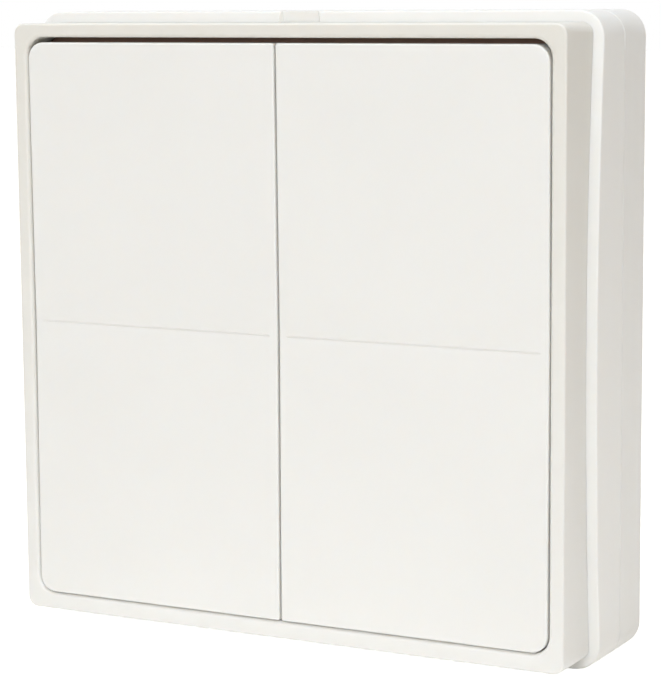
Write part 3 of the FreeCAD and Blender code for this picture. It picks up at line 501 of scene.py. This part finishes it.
def acetal():
    """Moulded natural acetal: milky, smooth and slightly waxy, with edges that let light in."""
    material, tree = new_material("moulded_natural_acetal")
    place = add(tree, "ShaderNodeTexCoord").outputs["Object"]
    cloud = noise(tree, place, 3.0)
    finish_material(tree, Base_Color=tinted(tree, cloud, linear("DEDBD0"), linear("EAE7DE")),
                    Roughness=spread(tree, cloud, 0.28, 0.36), IOR=1.48, Subsurface_Weight=0.15,
                    Subsurface_Scale=1.0 * MM)
    return material


def silicone():
    """Moulded silicone rubber: dull mid grey with dust that catches on it."""
    material, tree = new_material("moulded_silicone_rubber")
    place = add(tree, "ShaderNodeTexCoord").outputs["Object"]
    dust = noise(tree, place, 0.5, detail=4.0, roughness=0.7)
    bump = add(tree, "ShaderNodeBump", Strength=0.3, Distance=0.02 * MM, Height=dust)
    finish_material(tree, Base_Color=tinted(tree, dust, linear("96989B"), linear("A6A8AB")),
                    Roughness=spread(tree, dust, 0.6, 0.8), IOR=1.41, Normal=bump.outputs[0])
    return material


def lacquered_laminate():
    """Glass laminate under green solder resist: a woven cloth just shows through the glossy
    lacquer, and the copper under it makes lighter tracks."""
    material, tree = new_material("solder_resist_on_glass_laminate")
    place = add(tree, "ShaderNodeTexCoord").outputs["Object"]

    def threads(direction):
        return add(tree, "ShaderNodeTexWave", {"bands_direction": direction}, Vector=place,
                   Scale=1 / (6.0 * MM), Distortion=0.3).outputs[1]

    cloth = add(tree, "ShaderNodeMath", {"operation": "MULTIPLY"}, i0=threads("X"), i1=threads("Z"))
    tracks = add(tree, "ShaderNodeTexBrick", {"offset": 0.5}, Vector=place, Scale=1 / (9.0 * MM),
                 Mortar_Size=0.02, Color1=(0, 0, 0, 1), Color2=(0, 0, 0, 1), Mortar=(1, 1, 1, 1))
    ground = tinted(tree, cloth.outputs[0], linear("1E5631"), linear("236239"))
    face = add(tree, "ShaderNodeMix", {"data_type": "RGBA"}, i0=tracks.outputs[1], i6=ground,
               i7=(*linear("3C8550"), 1))
    finish_material(tree, Base_Color=face.outputs[2], Roughness=0.22, IOR=1.52, Coat_Weight=0.4,
                    Coat_Roughness=0.12)
    return material


def metal(name, dark, light, rough, grain_mm, stretch=(1, 1, 12)):
    """Rolled or pressed metal: fine lines from the rolls in its gloss, faint stains in its tone."""
    material, tree = new_material(name)
    place = add(tree, "ShaderNodeTexCoord").outputs["Object"]
    drawn = add(tree, "ShaderNodeMapping", Vector=place, Scale=stretch)
    lines = noise(tree, drawn.outputs[0], grain_mm, detail=3.0, roughness=0.6)
    stain = noise(tree, place, 4.0, detail=3.0)
    bump = add(tree, "ShaderNodeBump", Strength=0.25, Distance=0.01 * MM, Height=lines)
    finish_material(tree, Base_Color=tinted(tree, stain, linear(dark), linear(light)),
                    Metallic=1.0, Roughness=spread(tree, lines, rough - 0.06, rough + 0.08),
                    Normal=bump.outputs[0])
    return material


def moulded_epoxy(name, dark, light):
    """Moulded epoxy of board components: dull, with the pinholes of the mould's fine blasting."""
    material, tree = new_material(name)
    place = add(tree, "ShaderNodeTexCoord").outputs["Object"]
    grit = noise(tree, place, 0.12, detail=3.0, roughness=0.7)
    bump = add(tree, "ShaderNodeBump", Strength=0.4, Distance=0.01 * MM, Height=grit)
    finish_material(tree, Base_Color=tinted(tree, grit, linear(dark), linear(light)),
                    Roughness=spread(tree, grit, 0.5, 0.65), IOR=1.55, Normal=bump.outputs[0])
    return material


def abs_white(name, base, painted_top_shade=(1.0, 1.0, 1.0)):
    """ABS, moulded and left as it came from a finely eroded tool. The real grain of 0.05 mm is
    drawn at 0.25 mm, because finer would not show."""
    return moulded_plastic(name, tuple(base), rough=0.42, grain_mm=0.25, grain_height_mm=0.01,
                           depth_weight=0.5, painted_top_shade=painted_top_shade)


# Pieces
def crown(x, z):
    """Distance from the wall of the shallow dome that the rim's front follows."""
    return CROWN_TOP - CROWN_RADIUS + math.sqrt(CROWN_RADIUS ** 2 - x * x - z * z)


def opening_outline(wider):
    """Outline of the frame's opening, which ends a little higher above the lower bar."""
    lift = (SILL + OPENING_TIGHTER_BELOW) / 2
    return rounded_outline(OPENING_HALF - OPENING_TIGHTER + wider, OPENING_HALF - lift + wider,
                           OPENING_CORNER + wider, centre_z=lift)


def build_frame(sizes, material):
    """The slim front frame: a closed section drawn round the rounded square, with two pockets
    for the catches that hold it."""
    rings = [ring(rounded_outline(FRAME_HALF, FRAME_HALF, FRAME_CORNER), FLOOR_FRONT)]
    for inwards, back in rounding(sizes.frame_edge):
        half = FRAME_HALF - inwards
        rings.append(ring(rounded_outline(half, half, FRAME_CORNER - inwards), FRONT - back))
    for inwards, back in reversed(rounding(sizes.opening_edge)):
        rings.append(ring(opening_outline(inwards), FRONT - back))
    rings.append(ring(opening_outline(0), LIP_REAR))
    skirt = rounded_outline(SKIRT_HALF, SKIRT_HALF, OPENING_CORNER)
    rings += [ring(skirt, LIP_REAR), ring(skirt, FLOOR_FRONT)]
    bm = bmesh.new()
    add_loft(bm, rings, closed=True)
    obj = as_object("moulded_front_frame", bm)
    pockets = bmesh.new()
    half = CATCH_HALF_WIDTH + CATCH_FIT
    for _, end in ENDS:
        z = sorted((end * CATCH_FACE, end * (CATCH_NOSE + CATCH_FIT)))
        add_box(pockets, (-half, half), z, CATCH_TIP - CATCH_NOSE_DEPTH - CATCH_FIT,
                CATCH_TIP + CATCH_FIT)
    cut(obj, pockets)
    finish_piece(obj, material, "housing", "housing_white", "front_frame")


def add_notch(bm):
    """Cutter of the release notch in the rim's top, with flared sides and a floor that is
    deepest at the frame."""
    def corners(half):
        return [(-half, FRAME_HALF), (half, FRAME_HALF), (half, NOTCH_END), (-half, NOTCH_END)]

    def floor(x, z):
        return RIM_FRONT - NOTCH_DEPTH + NOTCH_SLOPE * (z - FRAME_HALF)

    add_loft(bm, [ring(corners(NOTCH_HALF_FLOOR), floor), ring(corners(NOTCH_HALF_TOP), NOTCH_TOP)])


def build_base(sizes, material):
    """The base housing: a crowned rim round the frame, over a floor with windows and catches."""
    inner = rounded_outline(RIM_INNER, RIM_INNER, FRAME_CORNER)
    rings = [ring(inner, FLOOR_FRONT), ring(inner, crown)]
    for inwards, back in reversed(rounding(sizes.rim_edge)):
        half = BASE_HALF - inwards
        outline = rounded_outline(half, half, BASE_CORNER - inwards)
        rings.append(ring(outline, lambda x, z, back=back: crown(x, z) - back))
    outer = rounded_outline(BASE_HALF, BASE_HALF, BASE_CORNER)
    rings.append(ring(outer, SEAM + sizes.seam_shadow))
    half = BASE_HALF - sizes.seam_shadow
    rings.append(ring(rounded_outline(half, half, BASE_CORNER - sizes.seam_shadow), SEAM))
    rings += [ring(inner, SEAM), ring(inner, FLOOR_REAR)]
    bm = bmesh.new()
    add_loft(bm, rings)
    obj = as_object("moulded_base_housing", bm)

    holes = bmesh.new()
    add_notch(holes)
    below, above = FLOOR_REAR - CUT_PAST, FLOOR_FRONT + CUT_PAST
    cell_window = circle(0, 0, CELL_WINDOW_RADIUS, ROUND_STEPS)
    add_prism(holes, below, above, cell_window, across=False)
    half = HOOK_HALF_WIDTH + HOOK_FIT
    for _, side in SIDES:
        for _, end in ENDS:
            x = sorted((side * (HOOK_OFFSET - half), side * (HOOK_OFFSET + half)))
            z = sorted((end * (HOOK_INNER - HOOK_SPRING), end * (HOOK_OUTER + HOOK_FIT)))
            add_box(holes, x, z, below, above)
    cut(obj, holes)

    extras = bmesh.new()
    rib = SCREW_Z + LEG_HALF_WIDTH
    for _, side in SIDES:
        x = sorted((side * (SCREW_X - RIB_REACH), side * (SCREW_X + LEG_HALF_WIDTH)))
        add_box(extras, x, (-rib, rib), FLOOR_FRONT - RIB_ROOT, BOARD_REAR)
    root = ROOT_OVERLAP - FLOOR_FRONT
    catch = [(root, CATCH_BACK), (-CATCH_TIP, CATCH_BACK), (-CATCH_TIP, CATCH_FACE),
             (CATCH_NOSE_RISE - CATCH_TIP, CATCH_NOSE), (CATCH_NOSE_DEPTH - CATCH_TIP, CATCH_NOSE),
             (CATCH_NOSE_DEPTH - CATCH_TIP, CATCH_FACE), (root, CATCH_FACE)]
    for _, end in ENDS:
        add_prism(extras, -CATCH_HALF_WIDTH, CATCH_HALF_WIDTH, [(y, end * z) for y, z in catch],
                  across=True)
    add_shells(obj, extras)
    finish_piece(obj, material, "housing", "housing_white", "base_housing")


def build_wall_plate(sizes, material):
    """The wall plate: a shallow pan with a locating lip, four slots and four snap hooks."""
    rings = []
    for inwards, back in reversed(rounding(sizes.rear_edge)):
        half = BASE_HALF - inwards
        rings.append(ring(rounded_outline(half, half, BASE_CORNER - inwards), back))
    rings.append(ring(rounded_outline(BASE_HALF, BASE_HALF, BASE_CORNER), SEAM - sizes.seam_edge))
    half = BASE_HALF - sizes.seam_edge
    rings.append(ring(rounded_outline(half, half, BASE_CORNER - sizes.seam_edge), SEAM))
    lip = rounded_outline(FRAME_HALF, FRAME_HALF, FRAME_CORNER)
    half = BASE_HALF - PLATE_WALL
    hollow = rounded_outline(half, half, BASE_CORNER - PLATE_WALL)
    rings += [ring(lip, SEAM), ring(lip, LIP_FRONT)]
    rings += [ring(hollow, LIP_FRONT), ring(hollow, PLATE_THICKNESS)]
    bm = bmesh.new()
    add_loft(bm, rings)
    obj = as_object("moulded_wall_plate", bm)

    slots = bmesh.new()
    for sign in (-1, 1):
        level = slot_outline(sign * SLOT_OFFSET, 0, upright=False)
        upright = slot_outline(0, sign * SLOT_OFFSET, upright=True)
        for outline in (level, upright):
            add_prism(slots, -CUT_PAST, PLATE_THICKNESS + CUT_PAST, outline, across=False)
    cut(obj, slots)

    hooks = bmesh.new()
    nose_end = -HOOK_HOLD - HOOK_NOSE / 2
    tip = -HOOK_HOLD - HOOK_NOSE * 1.5
    nose = HOOK_OUTER + HOOK_NOSE
    hook = [(-HOOK_ROOT, HOOK_INNER), (tip, HOOK_INNER), (tip, HOOK_OUTER), (nose_end, nose),
            (-HOOK_HOLD, nose), (-HOOK_HOLD, HOOK_OUTER), (-HOOK_ROOT, HOOK_OUTER)]
    for _, side in SIDES:
        for _, end in ENDS:
            x = side * HOOK_OFFSET
            add_prism(hooks, x - HOOK_HALF_WIDTH, x + HOOK_HALF_WIDTH,
                      [(y, end * z) for y, z in hook], across=True)
    add_shells(obj, hooks)
    finish_piece(obj, material, "housing", "wall_plate_white", "wall_plate")


def rocker_front(x, z):
    """Distance from the wall of a rocker's face, which falls from both ends to its middle."""
    return FRONT - ROCKER_DIP * (1 - abs(z) / ROCKER_HALF_HEIGHT)


def add_creased_face(bm, border, sign, sizes):
    """Face inside the border, with a tapered groove across its middle."""
    centre = sign * ROCKER_CENTRE
    half = sizes.crease_width / 2
    end = ROCKER_HALF_WIDTH - CREASE_MARGIN
    taper = end - CREASE_TAPER
    flat = [Vector((p.x / MM, p.z / MM)) for p in border]
    count = len(flat)
    groove = [Vector((centre + u, v)) for u, v in
              ((-end, 0), (-taper, half), (taper, half), (end, 0), (taper, -half), (-taper, -half))]
    bottom = [Vector((centre - taper, 0)), Vector((centre + taper, 0))]
    edges = [(i, (i + 1) % count) for i in range(count)]
    edges += [(count + i, count + (i + 1) % 6) for i in range(6)]
    edges += [(count, count + 6), (count + 6, count + 7), (count + 7, count + 3)]
    points, _, faces, _, _, _ = delaunay_2d_cdt(flat + groove + bottom, edges, [], 1, 1e-6)
    low = [p.to_tuple(4) for p in bottom]
    verts = []
    for point in points:
        depth = rocker_front(point.x, point.y)
        if point.to_tuple(4) in low:
            depth -= sizes.crease_depth
        verts.append(bm.verts.new(Vector((point.x, -depth, point.y)) * MM))
    for face in faces:
        bm.faces.new([verts[i] for i in face])


def build_rocker(side, sign, sizes, material):
    """A rocker: a folded face with a crease, thin side walls, and ears with bearing pins behind."""
    centre = sign * ROCKER_CENTRE

    def outline(inset, at_frame=ROCKER_CORNER, at_middle=ROCKER_INNER_CORNER):
        right, left = (at_frame, at_middle) if sign > 0 else (at_middle, at_frame)
        half_x = ROCKER_HALF_WIDTH + ROCKER_LARGER - inset
        half_z = ROCKER_HALF_HEIGHT + ROCKER_LARGER / 2 - inset
        return rounded_outline(half_x, half_z, right, left, centre, -ROCKER_LARGER / 2)

    hollow = outline(ROCKER_WALL, ROCKER_HOLLOW_CORNER, ROCKER_HOLLOW_CORNER)
    rings = [ring(hollow, SKIN_REAR), ring(hollow, SKIRT_REAR), ring(outline(0), SKIRT_REAR)]
    for inwards, back in rounding(sizes.rocker_edge):
        at_middle = max(ROCKER_INNER_CORNER - inwards, LEAST_CORNER)
        rings.append(ring(outline(inwards, ROCKER_CORNER - inwards, at_middle),
                          lambda x, z, back=back: rocker_front(x, z) - back))
    bm = bmesh.new()
    add_loft(bm, rings, cap_last=False)
    add_creased_face(bm, rings[-1], sign, sizes)
    obj = as_object(f"moulded_rocker_{side}", bm)

    ears = bmesh.new()
    root = -SKIN_REAR - ROOT_OVERLAP
    ear = [(root, EAR_RADIUS), *circle(-PIVOT, 0, EAR_RADIUS, 12, 90, -180), (root, -EAR_RADIUS)]
    pin = circle(-PIVOT, 0, PIN_RADIUS)
    outer = POST_PLACE - POST_HALF_THICKNESS - EAR_GAP
    pin_end = POST_PLACE + POST_HALF_THICKNESS
    for hand in (-1, 1):
        x = sorted((centre + hand * outer, centre + hand * (outer - EAR_THICKNESS)))
        add_prism(ears, x[0], x[1], ear, across=True)
        x = sorted((centre + hand * (outer - ROOT_OVERLAP), centre + hand * pin_end))
        add_prism(ears, x[0], x[1], pin, across=True)
    add_shells(obj, ears)
    finish_piece(obj, material, f"rocker_{side}", "rocker_white", f"rocker_{side}")


def build_mat(side, sign, material):
    """A contact mat: a rubber sheet on the board, and two domes that stand in holes in it."""
    centre = sign * ROCKER_CENTRE
    node = f"contact_mat_{side}"
    outline = rounded_outline(MAT_HALF_WIDTH, MAT_HALF_HEIGHT, MAT_CORNER, centre_x=centre)
    bm = bmesh.new()
    add_loft(bm, [ring(outline, BOARD_FRONT), ring(outline, SHEET_FRONT)])
    sheet = as_object(f"moulded_rubber_sheet_{side}", bm)
    holes = bmesh.new()
    for _, end in ENDS:
        foot = circle(centre, end * LEVER, DOME_RADIUS, ROUND_STEPS)
        add_prism(holes, BOARD_FRONT - CUT_PAST, SHEET_FRONT + CUT_PAST, foot, across=False)
    cut(sheet, holes)
    finish_piece(sheet, material, "housing", "silicone_grey", node)

    profile = [(DOME_CAVITY, DOME_CEILING), (DOME_CAVITY, BOARD_FRONT), (DOME_RADIUS, BOARD_FRONT),
               (DOME_RADIUS, SHEET_FRONT)]
    for k in range(1, DOME_STEPS + 1):
        share = k / DOME_STEPS
        profile.append((DOME_RADIUS + (DOME_TOP_RADIUS - DOME_RADIUS) * share,
                        SHEET_FRONT + (DOME_TOP - SHEET_FRONT) * share))
    for name, end in ENDS:
        bm = bmesh.new()
        add_loft(bm, [ring(circle(centre, end * LEVER, radius, ROUND_STEPS), depth)
                      for radius, depth in profile])
        dome = as_object(f"moulded_rubber_dome_{side}_{name}", bm)
        finish_piece(dome, material, None, "silicone_grey", node)
        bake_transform(dome)


# Carrier screws, made with Geometry Nodes
def screw_tree(material):
    """Node tree that sets a cross-recessed screw at each corner of a rectangle."""
    tree = bpy.data.node_groups.new("carrier_screw_pattern", "GeometryNodeTree")
    inputs = (("Half spacing X", 30.0), ("Half spacing Z", 30.0), ("Head front", 0.0),
              ("Head radius", 2.0), ("Head height", 1.2), ("Shank radius", 1.05),
              ("Shank length", 7.4), ("Recess width", 0.55), ("Recess length", 2.4),
              ("Recess depth", 0.7))
    for name, value in inputs:
        socket = tree.interface.new_socket(name, in_out="INPUT", socket_type="NodeSocketFloat")
        socket.default_value = value * MM
        socket.subtype = "DISTANCE"
    tree.interface.new_socket("Geometry", in_out="OUTPUT", socket_type="NodeSocketGeometry")
    given = tree.nodes.new("NodeGroupInput").outputs

    def math_node(operation, a, b):
        return add(tree, "ShaderNodeMath", {"operation": operation}, i0=a, i1=b).outputs[0]

    def vector(x, y, z):
        return add(tree, "ShaderNodeCombineXYZ", i0=x, i1=y, i2=z).outputs[0]

    def moved(geometry, place):
        return add(tree, "GeometryNodeTransform", Geometry=geometry, Translation=place).outputs[0]

    head_middle = math_node("MULTIPLY", given["Head height"], -0.5)
    shank_drop = math_node("ADD", given["Head height"],
                           math_node("MULTIPLY", given["Shank length"], 0.5))
    shank_middle = math_node("MULTIPLY", shank_drop, -1.0)
    head = add(tree, "GeometryNodeMeshCylinder", Vertices=32, Radius=given["Head radius"],
               Depth=given["Head height"])
    shank = add(tree, "GeometryNodeMeshCylinder", Vertices=24, Radius=given["Shank radius"],
                Depth=given["Shank length"])
    head_placed = moved(head.outputs[0], vector(0.0, 0.0, head_middle))
    shank_placed = moved(shank.outputs[0], vector(0.0, 0.0, shank_middle))
    length, width, depth = (given[f"Recess {name}"] for name in ("length", "width", "depth"))
    across = add(tree, "GeometryNodeMeshCube", Size=vector(length, width, depth))
    along = add(tree, "GeometryNodeMeshCube", Size=vector(width, length, depth))
    recess = add(tree, "GeometryNodeMeshBoolean", {"operation": "DIFFERENCE", "solver": "EXACT"})
    tree.links.new(head_placed, recess.inputs["Mesh 1"])
    tree.links.new(across.outputs[0], recess.inputs["Mesh 2"])
    tree.links.new(along.outputs[0], recess.inputs["Mesh 2"])
    screw = add(tree, "GeometryNodeJoinGeometry")
    tree.links.new(recess.outputs[0], screw.inputs[0])
    tree.links.new(shank_placed, screw.inputs[0])
    spots = add(tree, "GeometryNodeMeshGrid", Vertices_X=2, Vertices_Y=2,
                Size_X=math_node("MULTIPLY", given["Half spacing X"], 2.0),
                Size_Y=math_node("MULTIPLY", given["Half spacing Z"], 2.0))
    placed = add(tree, "GeometryNodeInstanceOnPoints", Points=spots.outputs[0],
                 Instance=screw.outputs[0])
    upright = add(tree, "GeometryNodeTransform", Geometry=placed.outputs[0],
                  Translation=vector(0.0, math_node("MULTIPLY", given["Head front"], -1.0), 0.0),
                  Rotation=(math.pi / 2, 0, 0))
    real = add(tree, "GeometryNodeRealizeInstances", Geometry=upright.outputs[0])
    painted = add(tree, "GeometryNodeSetMaterial", Geometry=real.outputs[0], Material=material)
    result = tree.nodes.new("NodeGroupOutput")
    tree.links.new(painted.outputs[0], result.inputs[0])
    return tree


def made_plain(name, tree, values):
    """Runs a node tree on an empty mesh and returns the result as an object with a plain mesh."""
    carrier = link(bpy.data.objects.new(name, bpy.data.meshes.new(name)))
    change = carrier.modifiers.new("pattern", "NODES")
    change.node_group = tree
    for item in tree.interface.items_tree:
        if item.in_out == "INPUT" and item.name in values:
            change[item.identifier] = values[item.name] * MM
    depsgraph = bpy.context.evaluated_depsgraph_get()
    mesh = bpy.data.meshes.new_from_object(carrier.evaluated_get(depsgraph))
    carrier.modifiers.remove(change)
    old = carrier.data
    carrier.data = mesh
    bpy.data.meshes.remove(old)
    mesh.name = name
    return carrier


# Operators
def settings():
    """The sizes in millimetres, and the colours."""
    scene = bpy.context.scene
    sizes = {name: getattr(scene.switch_sizes, name) / MM for name in SwitchSizes.__annotations__}
    return SimpleNamespace(**sizes), scene.switch_colours


class SWITCH_OT_frame(bpy.types.Operator):
    """Build the slim frame round the rockers"""
    bl_idname = "switch.build_frame"
    bl_label = "Front frame"

    def execute(self, context):
        sizes, colours = settings()
        # The frame's material carries a painted shade that darkens its upper part.
        material = abs_white("moulded_abs_frame", colours.frame, FRAME_PAINTED_TOP_SHADE)
        build_frame(sizes, material)
        return {"FINISHED"}


class SWITCH_OT_base(bpy.types.Operator):
    """Build the base housing with its crowned rim"""
    bl_idname = "switch.build_base"
    bl_label = "Base housing"

    def execute(self, context):
        sizes, colours = settings()
        build_base(sizes, abs_white("moulded_abs_base", colours.housing))
        return {"FINISHED"}


class SWITCH_OT_wall_plate(bpy.types.Operator):
    """Build the slotted wall plate"""
    bl_idname = "switch.build_wall_plate"
    bl_label = "Wall plate"

    def execute(self, context):
        sizes, colours = settings()
        build_wall_plate(sizes, abs_white("moulded_abs_wall_plate", colours.plate))
        return {"FINISHED"}


class SWITCH_OT_rockers(bpy.types.Operator):
    """Build the two creased rockers"""
    bl_idname = "switch.build_rockers"
    bl_label = "Rockers"

    def execute(self, context):
        sizes, colours = settings()
        material = abs_white("moulded_abs_rocker", colours.rocker)
        for side, sign in SIDES:
            build_rocker(side, sign, sizes, material)
        return {"FINISHED"}


class SWITCH_OT_screws(bpy.types.Operator):
    """Build the four carrier screws"""
    bl_idname = "switch.build_screws"
    bl_label = "Carrier screws"

    def execute(self, context):
        material = metal("zinc_plated_steel", "A9ABAE", "BEC0C3", rough=0.3, grain_mm=0.3)
        places = {"Half spacing X": SCREW_X, "Half spacing Z": SCREW_Z,
                  "Head front": depth_of("carrier_screws")}
        screws = made_plain("zinc_plated_screws", screw_tree(material), places)
        finish_piece(screws, material, "housing", "screw_zinc", "carrier_screws")
        return {"FINISHED"}


class SWITCH_OT_mats(bpy.types.Operator):
    """Build the two contact mats with their domes"""
    bl_idname = "switch.build_mats"
    bl_label = "Contact mats"

    def execute(self, context):
        material = silicone()
        for side, sign in SIDES:
            build_mat(side, sign, material)
        return {"FINISHED"}


class SWITCH_OT_inside(bpy.types.Operator):
    """Give the carrier, plungers, board and battery their materials"""
    bl_idname = "switch.dress_inside"
    bl_label = "Inside"

    def execute(self, context):
        _, colours = settings()
        # Painted shade: the carrier is a real part, and its brown stands in for the warm dark tint
        # of the shade in the top gap.
        carrier = moulded_plastic("moulded_glass_filled_nylon", tuple(colours.carrier), rough=0.6,
                                  grain_mm=0.3, grain_height_mm=0.02, variation=0.08)
        shield = metal("tinned_steel_sheet", "B4B4B0", "C6C6C2", rough=0.28, grain_mm=0.4)
        nickel = metal("nickel_plated_strip", "B8B4A8", "C9C6BC", rough=0.25, grain_mm=0.2)
        cell = metal("pressed_nickel_steel_can", "BDBCB8", "CDCCC8", rough=0.24, grain_mm=0.25,
                     stretch=(1, 1, 1))
        copper = metal("bare_copper_alloy_strip", "B87452", "C98663", rough=0.3, grain_mm=0.2)
        finishes = (
            (carrier, "rocker_carrier"),
            (acetal(), "plunger_left_upper", "plunger_left_lower",
             "plunger_right_upper", "plunger_right_lower"),
            (lacquered_laminate(), "circuit_board"),
            (shield, "radio_module", "crystal"),
            (moulded_epoxy("moulded_black_epoxy", "1C1C1D", "262627"), "controller_chip"),
            (moulded_epoxy("moulded_ochre_epoxy", "C79A3C", "D2A64A"), "reservoir_capacitor"),
            (copper, "antenna_strip"),
            (cell, "coin_cell"),
            (nickel, "battery_clip_positive", "battery_contact_negative"),
        )
        for material, *names in finishes:
            for name in names:
                mesh = frame["nodes"][name].data
                mesh.materials.clear()
                mesh.materials.append(material)
        return {"FINISHED"}


class SWITCH_OT_studio(bpy.types.Operator):
    """Set up the floor, the lights and the camera"""
    bl_idname = "switch.build_studio"
    bl_label = "Studio"

    def execute(self, context):
        _, colours = settings()
        build_floor(colours)
        build_lights()
        build_camera()
        context.scene.view_settings.view_transform = "Standard"
        return {"FINISHED"}


# Studio
def seen_directly(tree):
    """1 for rays from the camera, a mirror or glass, and 0 for the rest."""
    path = add(tree, "ShaderNodeLightPath").outputs
    first = add(tree, "ShaderNodeMath", {"operation": "MAXIMUM"}, i0=path["Is Camera Ray"],
                i1=path["Is Glossy Ray"])
    return add(tree, "ShaderNodeMath", {"operation": "MAXIMUM"}, i0=first.outputs[0],
               i1=path["Is Transmission Ray"]).outputs[0]


def build_floor(colours):
    """Pale floor under the switch. Where it is seen directly it glows a little,
    so that it meets the white backdrop and keeps only a light shadow."""
    bm = bmesh.new()
    corners = ((-1, -1), (1, -1), (1, 1), (-1, 1))
    bm.faces.new([bm.verts.new((x * FLOOR_HALF, y * FLOOR_HALF, FLOOR_LEVEL)) for x, y in corners])
    floor = as_object("studio_floor", bm)
    material, tree = new_material("painted_studio_floor")
    place = add(tree, "ShaderNodeTexCoord").outputs["Object"]
    cloud = noise(tree, place, 120.0)
    pale = tuple(colours.floor)
    shade = tinted(tree, cloud, tuple(c * 0.985 for c in pale), pale)
    paint = add(tree, "ShaderNodeBsdfDiffuse", Color=shade)
    glow = add(tree, "ShaderNodeEmission", Color=(1, 1, 1, 1),
               Strength=spread(tree, seen_directly(tree), 0.0, FLOOR_GLOW))
    both = add(tree, "ShaderNodeAddShader", i0=paint.outputs[0], i1=glow.outputs[0])
    add(tree, "ShaderNodeOutputMaterial", Surface=both.outputs[0])
    floor.data.materials.append(material)


def add_lamp(name, place, target, width, height, power, tint):
    """A rectangular lamp at a place, which points at a target."""
    light = bpy.data.lights.new(name, "AREA")
    light.color = tint
    light.shape = "RECTANGLE"
    light.size = width
    light.size_y = height
    light.energy = power
    lamp = link(bpy.data.objects.new(name, light))
    lamp.location = place
    lamp.rotation_euler = (Vector(target) - Vector(place)).to_track_quat("-Z", "Y").to_euler()


def build_lights():
    """Warm surroundings that are brighter in front than behind, a large soft lamp overhead, one
    in front beside the camera and a low fill. Where the surroundings are seen directly, they are
    a white backdrop."""
    world = bpy.data.worlds.new("studio_surroundings")
    bpy.context.scene.world = world
    world.use_nodes = True
    tree = world.node_tree
    tree.nodes.clear()
    direction = add(tree, "ShaderNodeTexCoord").outputs["Generated"]
    backwards = add(tree, "ShaderNodeSeparateXYZ", i0=direction).outputs[1]
    level = add(tree, "ShaderNodeMapRange", i0=backwards, i1=-1.0, i2=1.0,
                i3=SURROUNDINGS_IN_FRONT, i4=SURROUNDINGS_BEHIND)
    shell = add(tree, "ShaderNodeBackground", Color=SURROUNDINGS_COLOUR,
                Strength=level.outputs[0])
    backdrop = add(tree, "ShaderNodeBackground", Color=(1, 1, 1, 1), Strength=1.0)
    both = add(tree, "ShaderNodeMixShader", i0=seen_directly(tree), i1=shell.outputs[0],
               i2=backdrop.outputs[0])
    add(tree, "ShaderNodeOutputWorld", Surface=both.outputs[0])
    for lamp in LAMPS:
        add_lamp(*lamp)


def build_camera():
    """Camera of the photograph: slightly above and to the right, long lens."""
    camera = bpy.data.cameras.new("photo_camera")
    camera.sensor_fit = "HORIZONTAL"
    camera.sensor_width = CAMERA_SENSOR
    camera.lens = CAMERA_LENS
    camera.clip_start = 0.01
    obj = link(bpy.data.objects.new("photo_camera", camera))
    obj.location = CAMERA_PLACE
    obj.rotation_euler = tuple(math.radians(angle) for angle in CAMERA_TURN)
    bpy.context.scene.camera = obj


STEPS = (SWITCH_OT_frame, SWITCH_OT_base, SWITCH_OT_wall_plate, SWITCH_OT_rockers, SWITCH_OT_screws,
         SWITCH_OT_mats, SWITCH_OT_inside, SWITCH_OT_studio)


class SWITCH_PT_sidebar(bpy.types.Panel):
    """Sidebar panel with one button for each piece"""
    bl_label = "Wall switch"
    bl_idname = "SWITCH_PT_sidebar"
    bl_space_type = "VIEW_3D"
    bl_region_type = "UI"
    bl_category = "Wall switch"

    def draw(self, context):
        for step in STEPS:
            self.layout.operator(step.bl_idname)
        for group in (context.scene.switch_sizes, context.scene.switch_colours):
            for name in type(group).__annotations__:
                self.layout.prop(group, name)


CLASSES = (SwitchSizes, SwitchColours, *STEPS, SWITCH_PT_sidebar)


def register():
    for one in CLASSES:
        bpy.utils.register_class(one)
    bpy.types.Scene.switch_sizes = bpy.props.PointerProperty(type=SwitchSizes)
    bpy.types.Scene.switch_colours = bpy.props.PointerProperty(type=SwitchColours)


def unregister():
    del bpy.types.Scene.switch_colours
    del bpy.types.Scene.switch_sizes
    for one in reversed(CLASSES):
        bpy.utils.unregister_class(one)


def main():
    register()
    for step in STEPS:
        group, name = step.bl_idname.split(".")
        getattr(getattr(bpy.ops, group), name)()


if __name__ == "__main__":
    main()
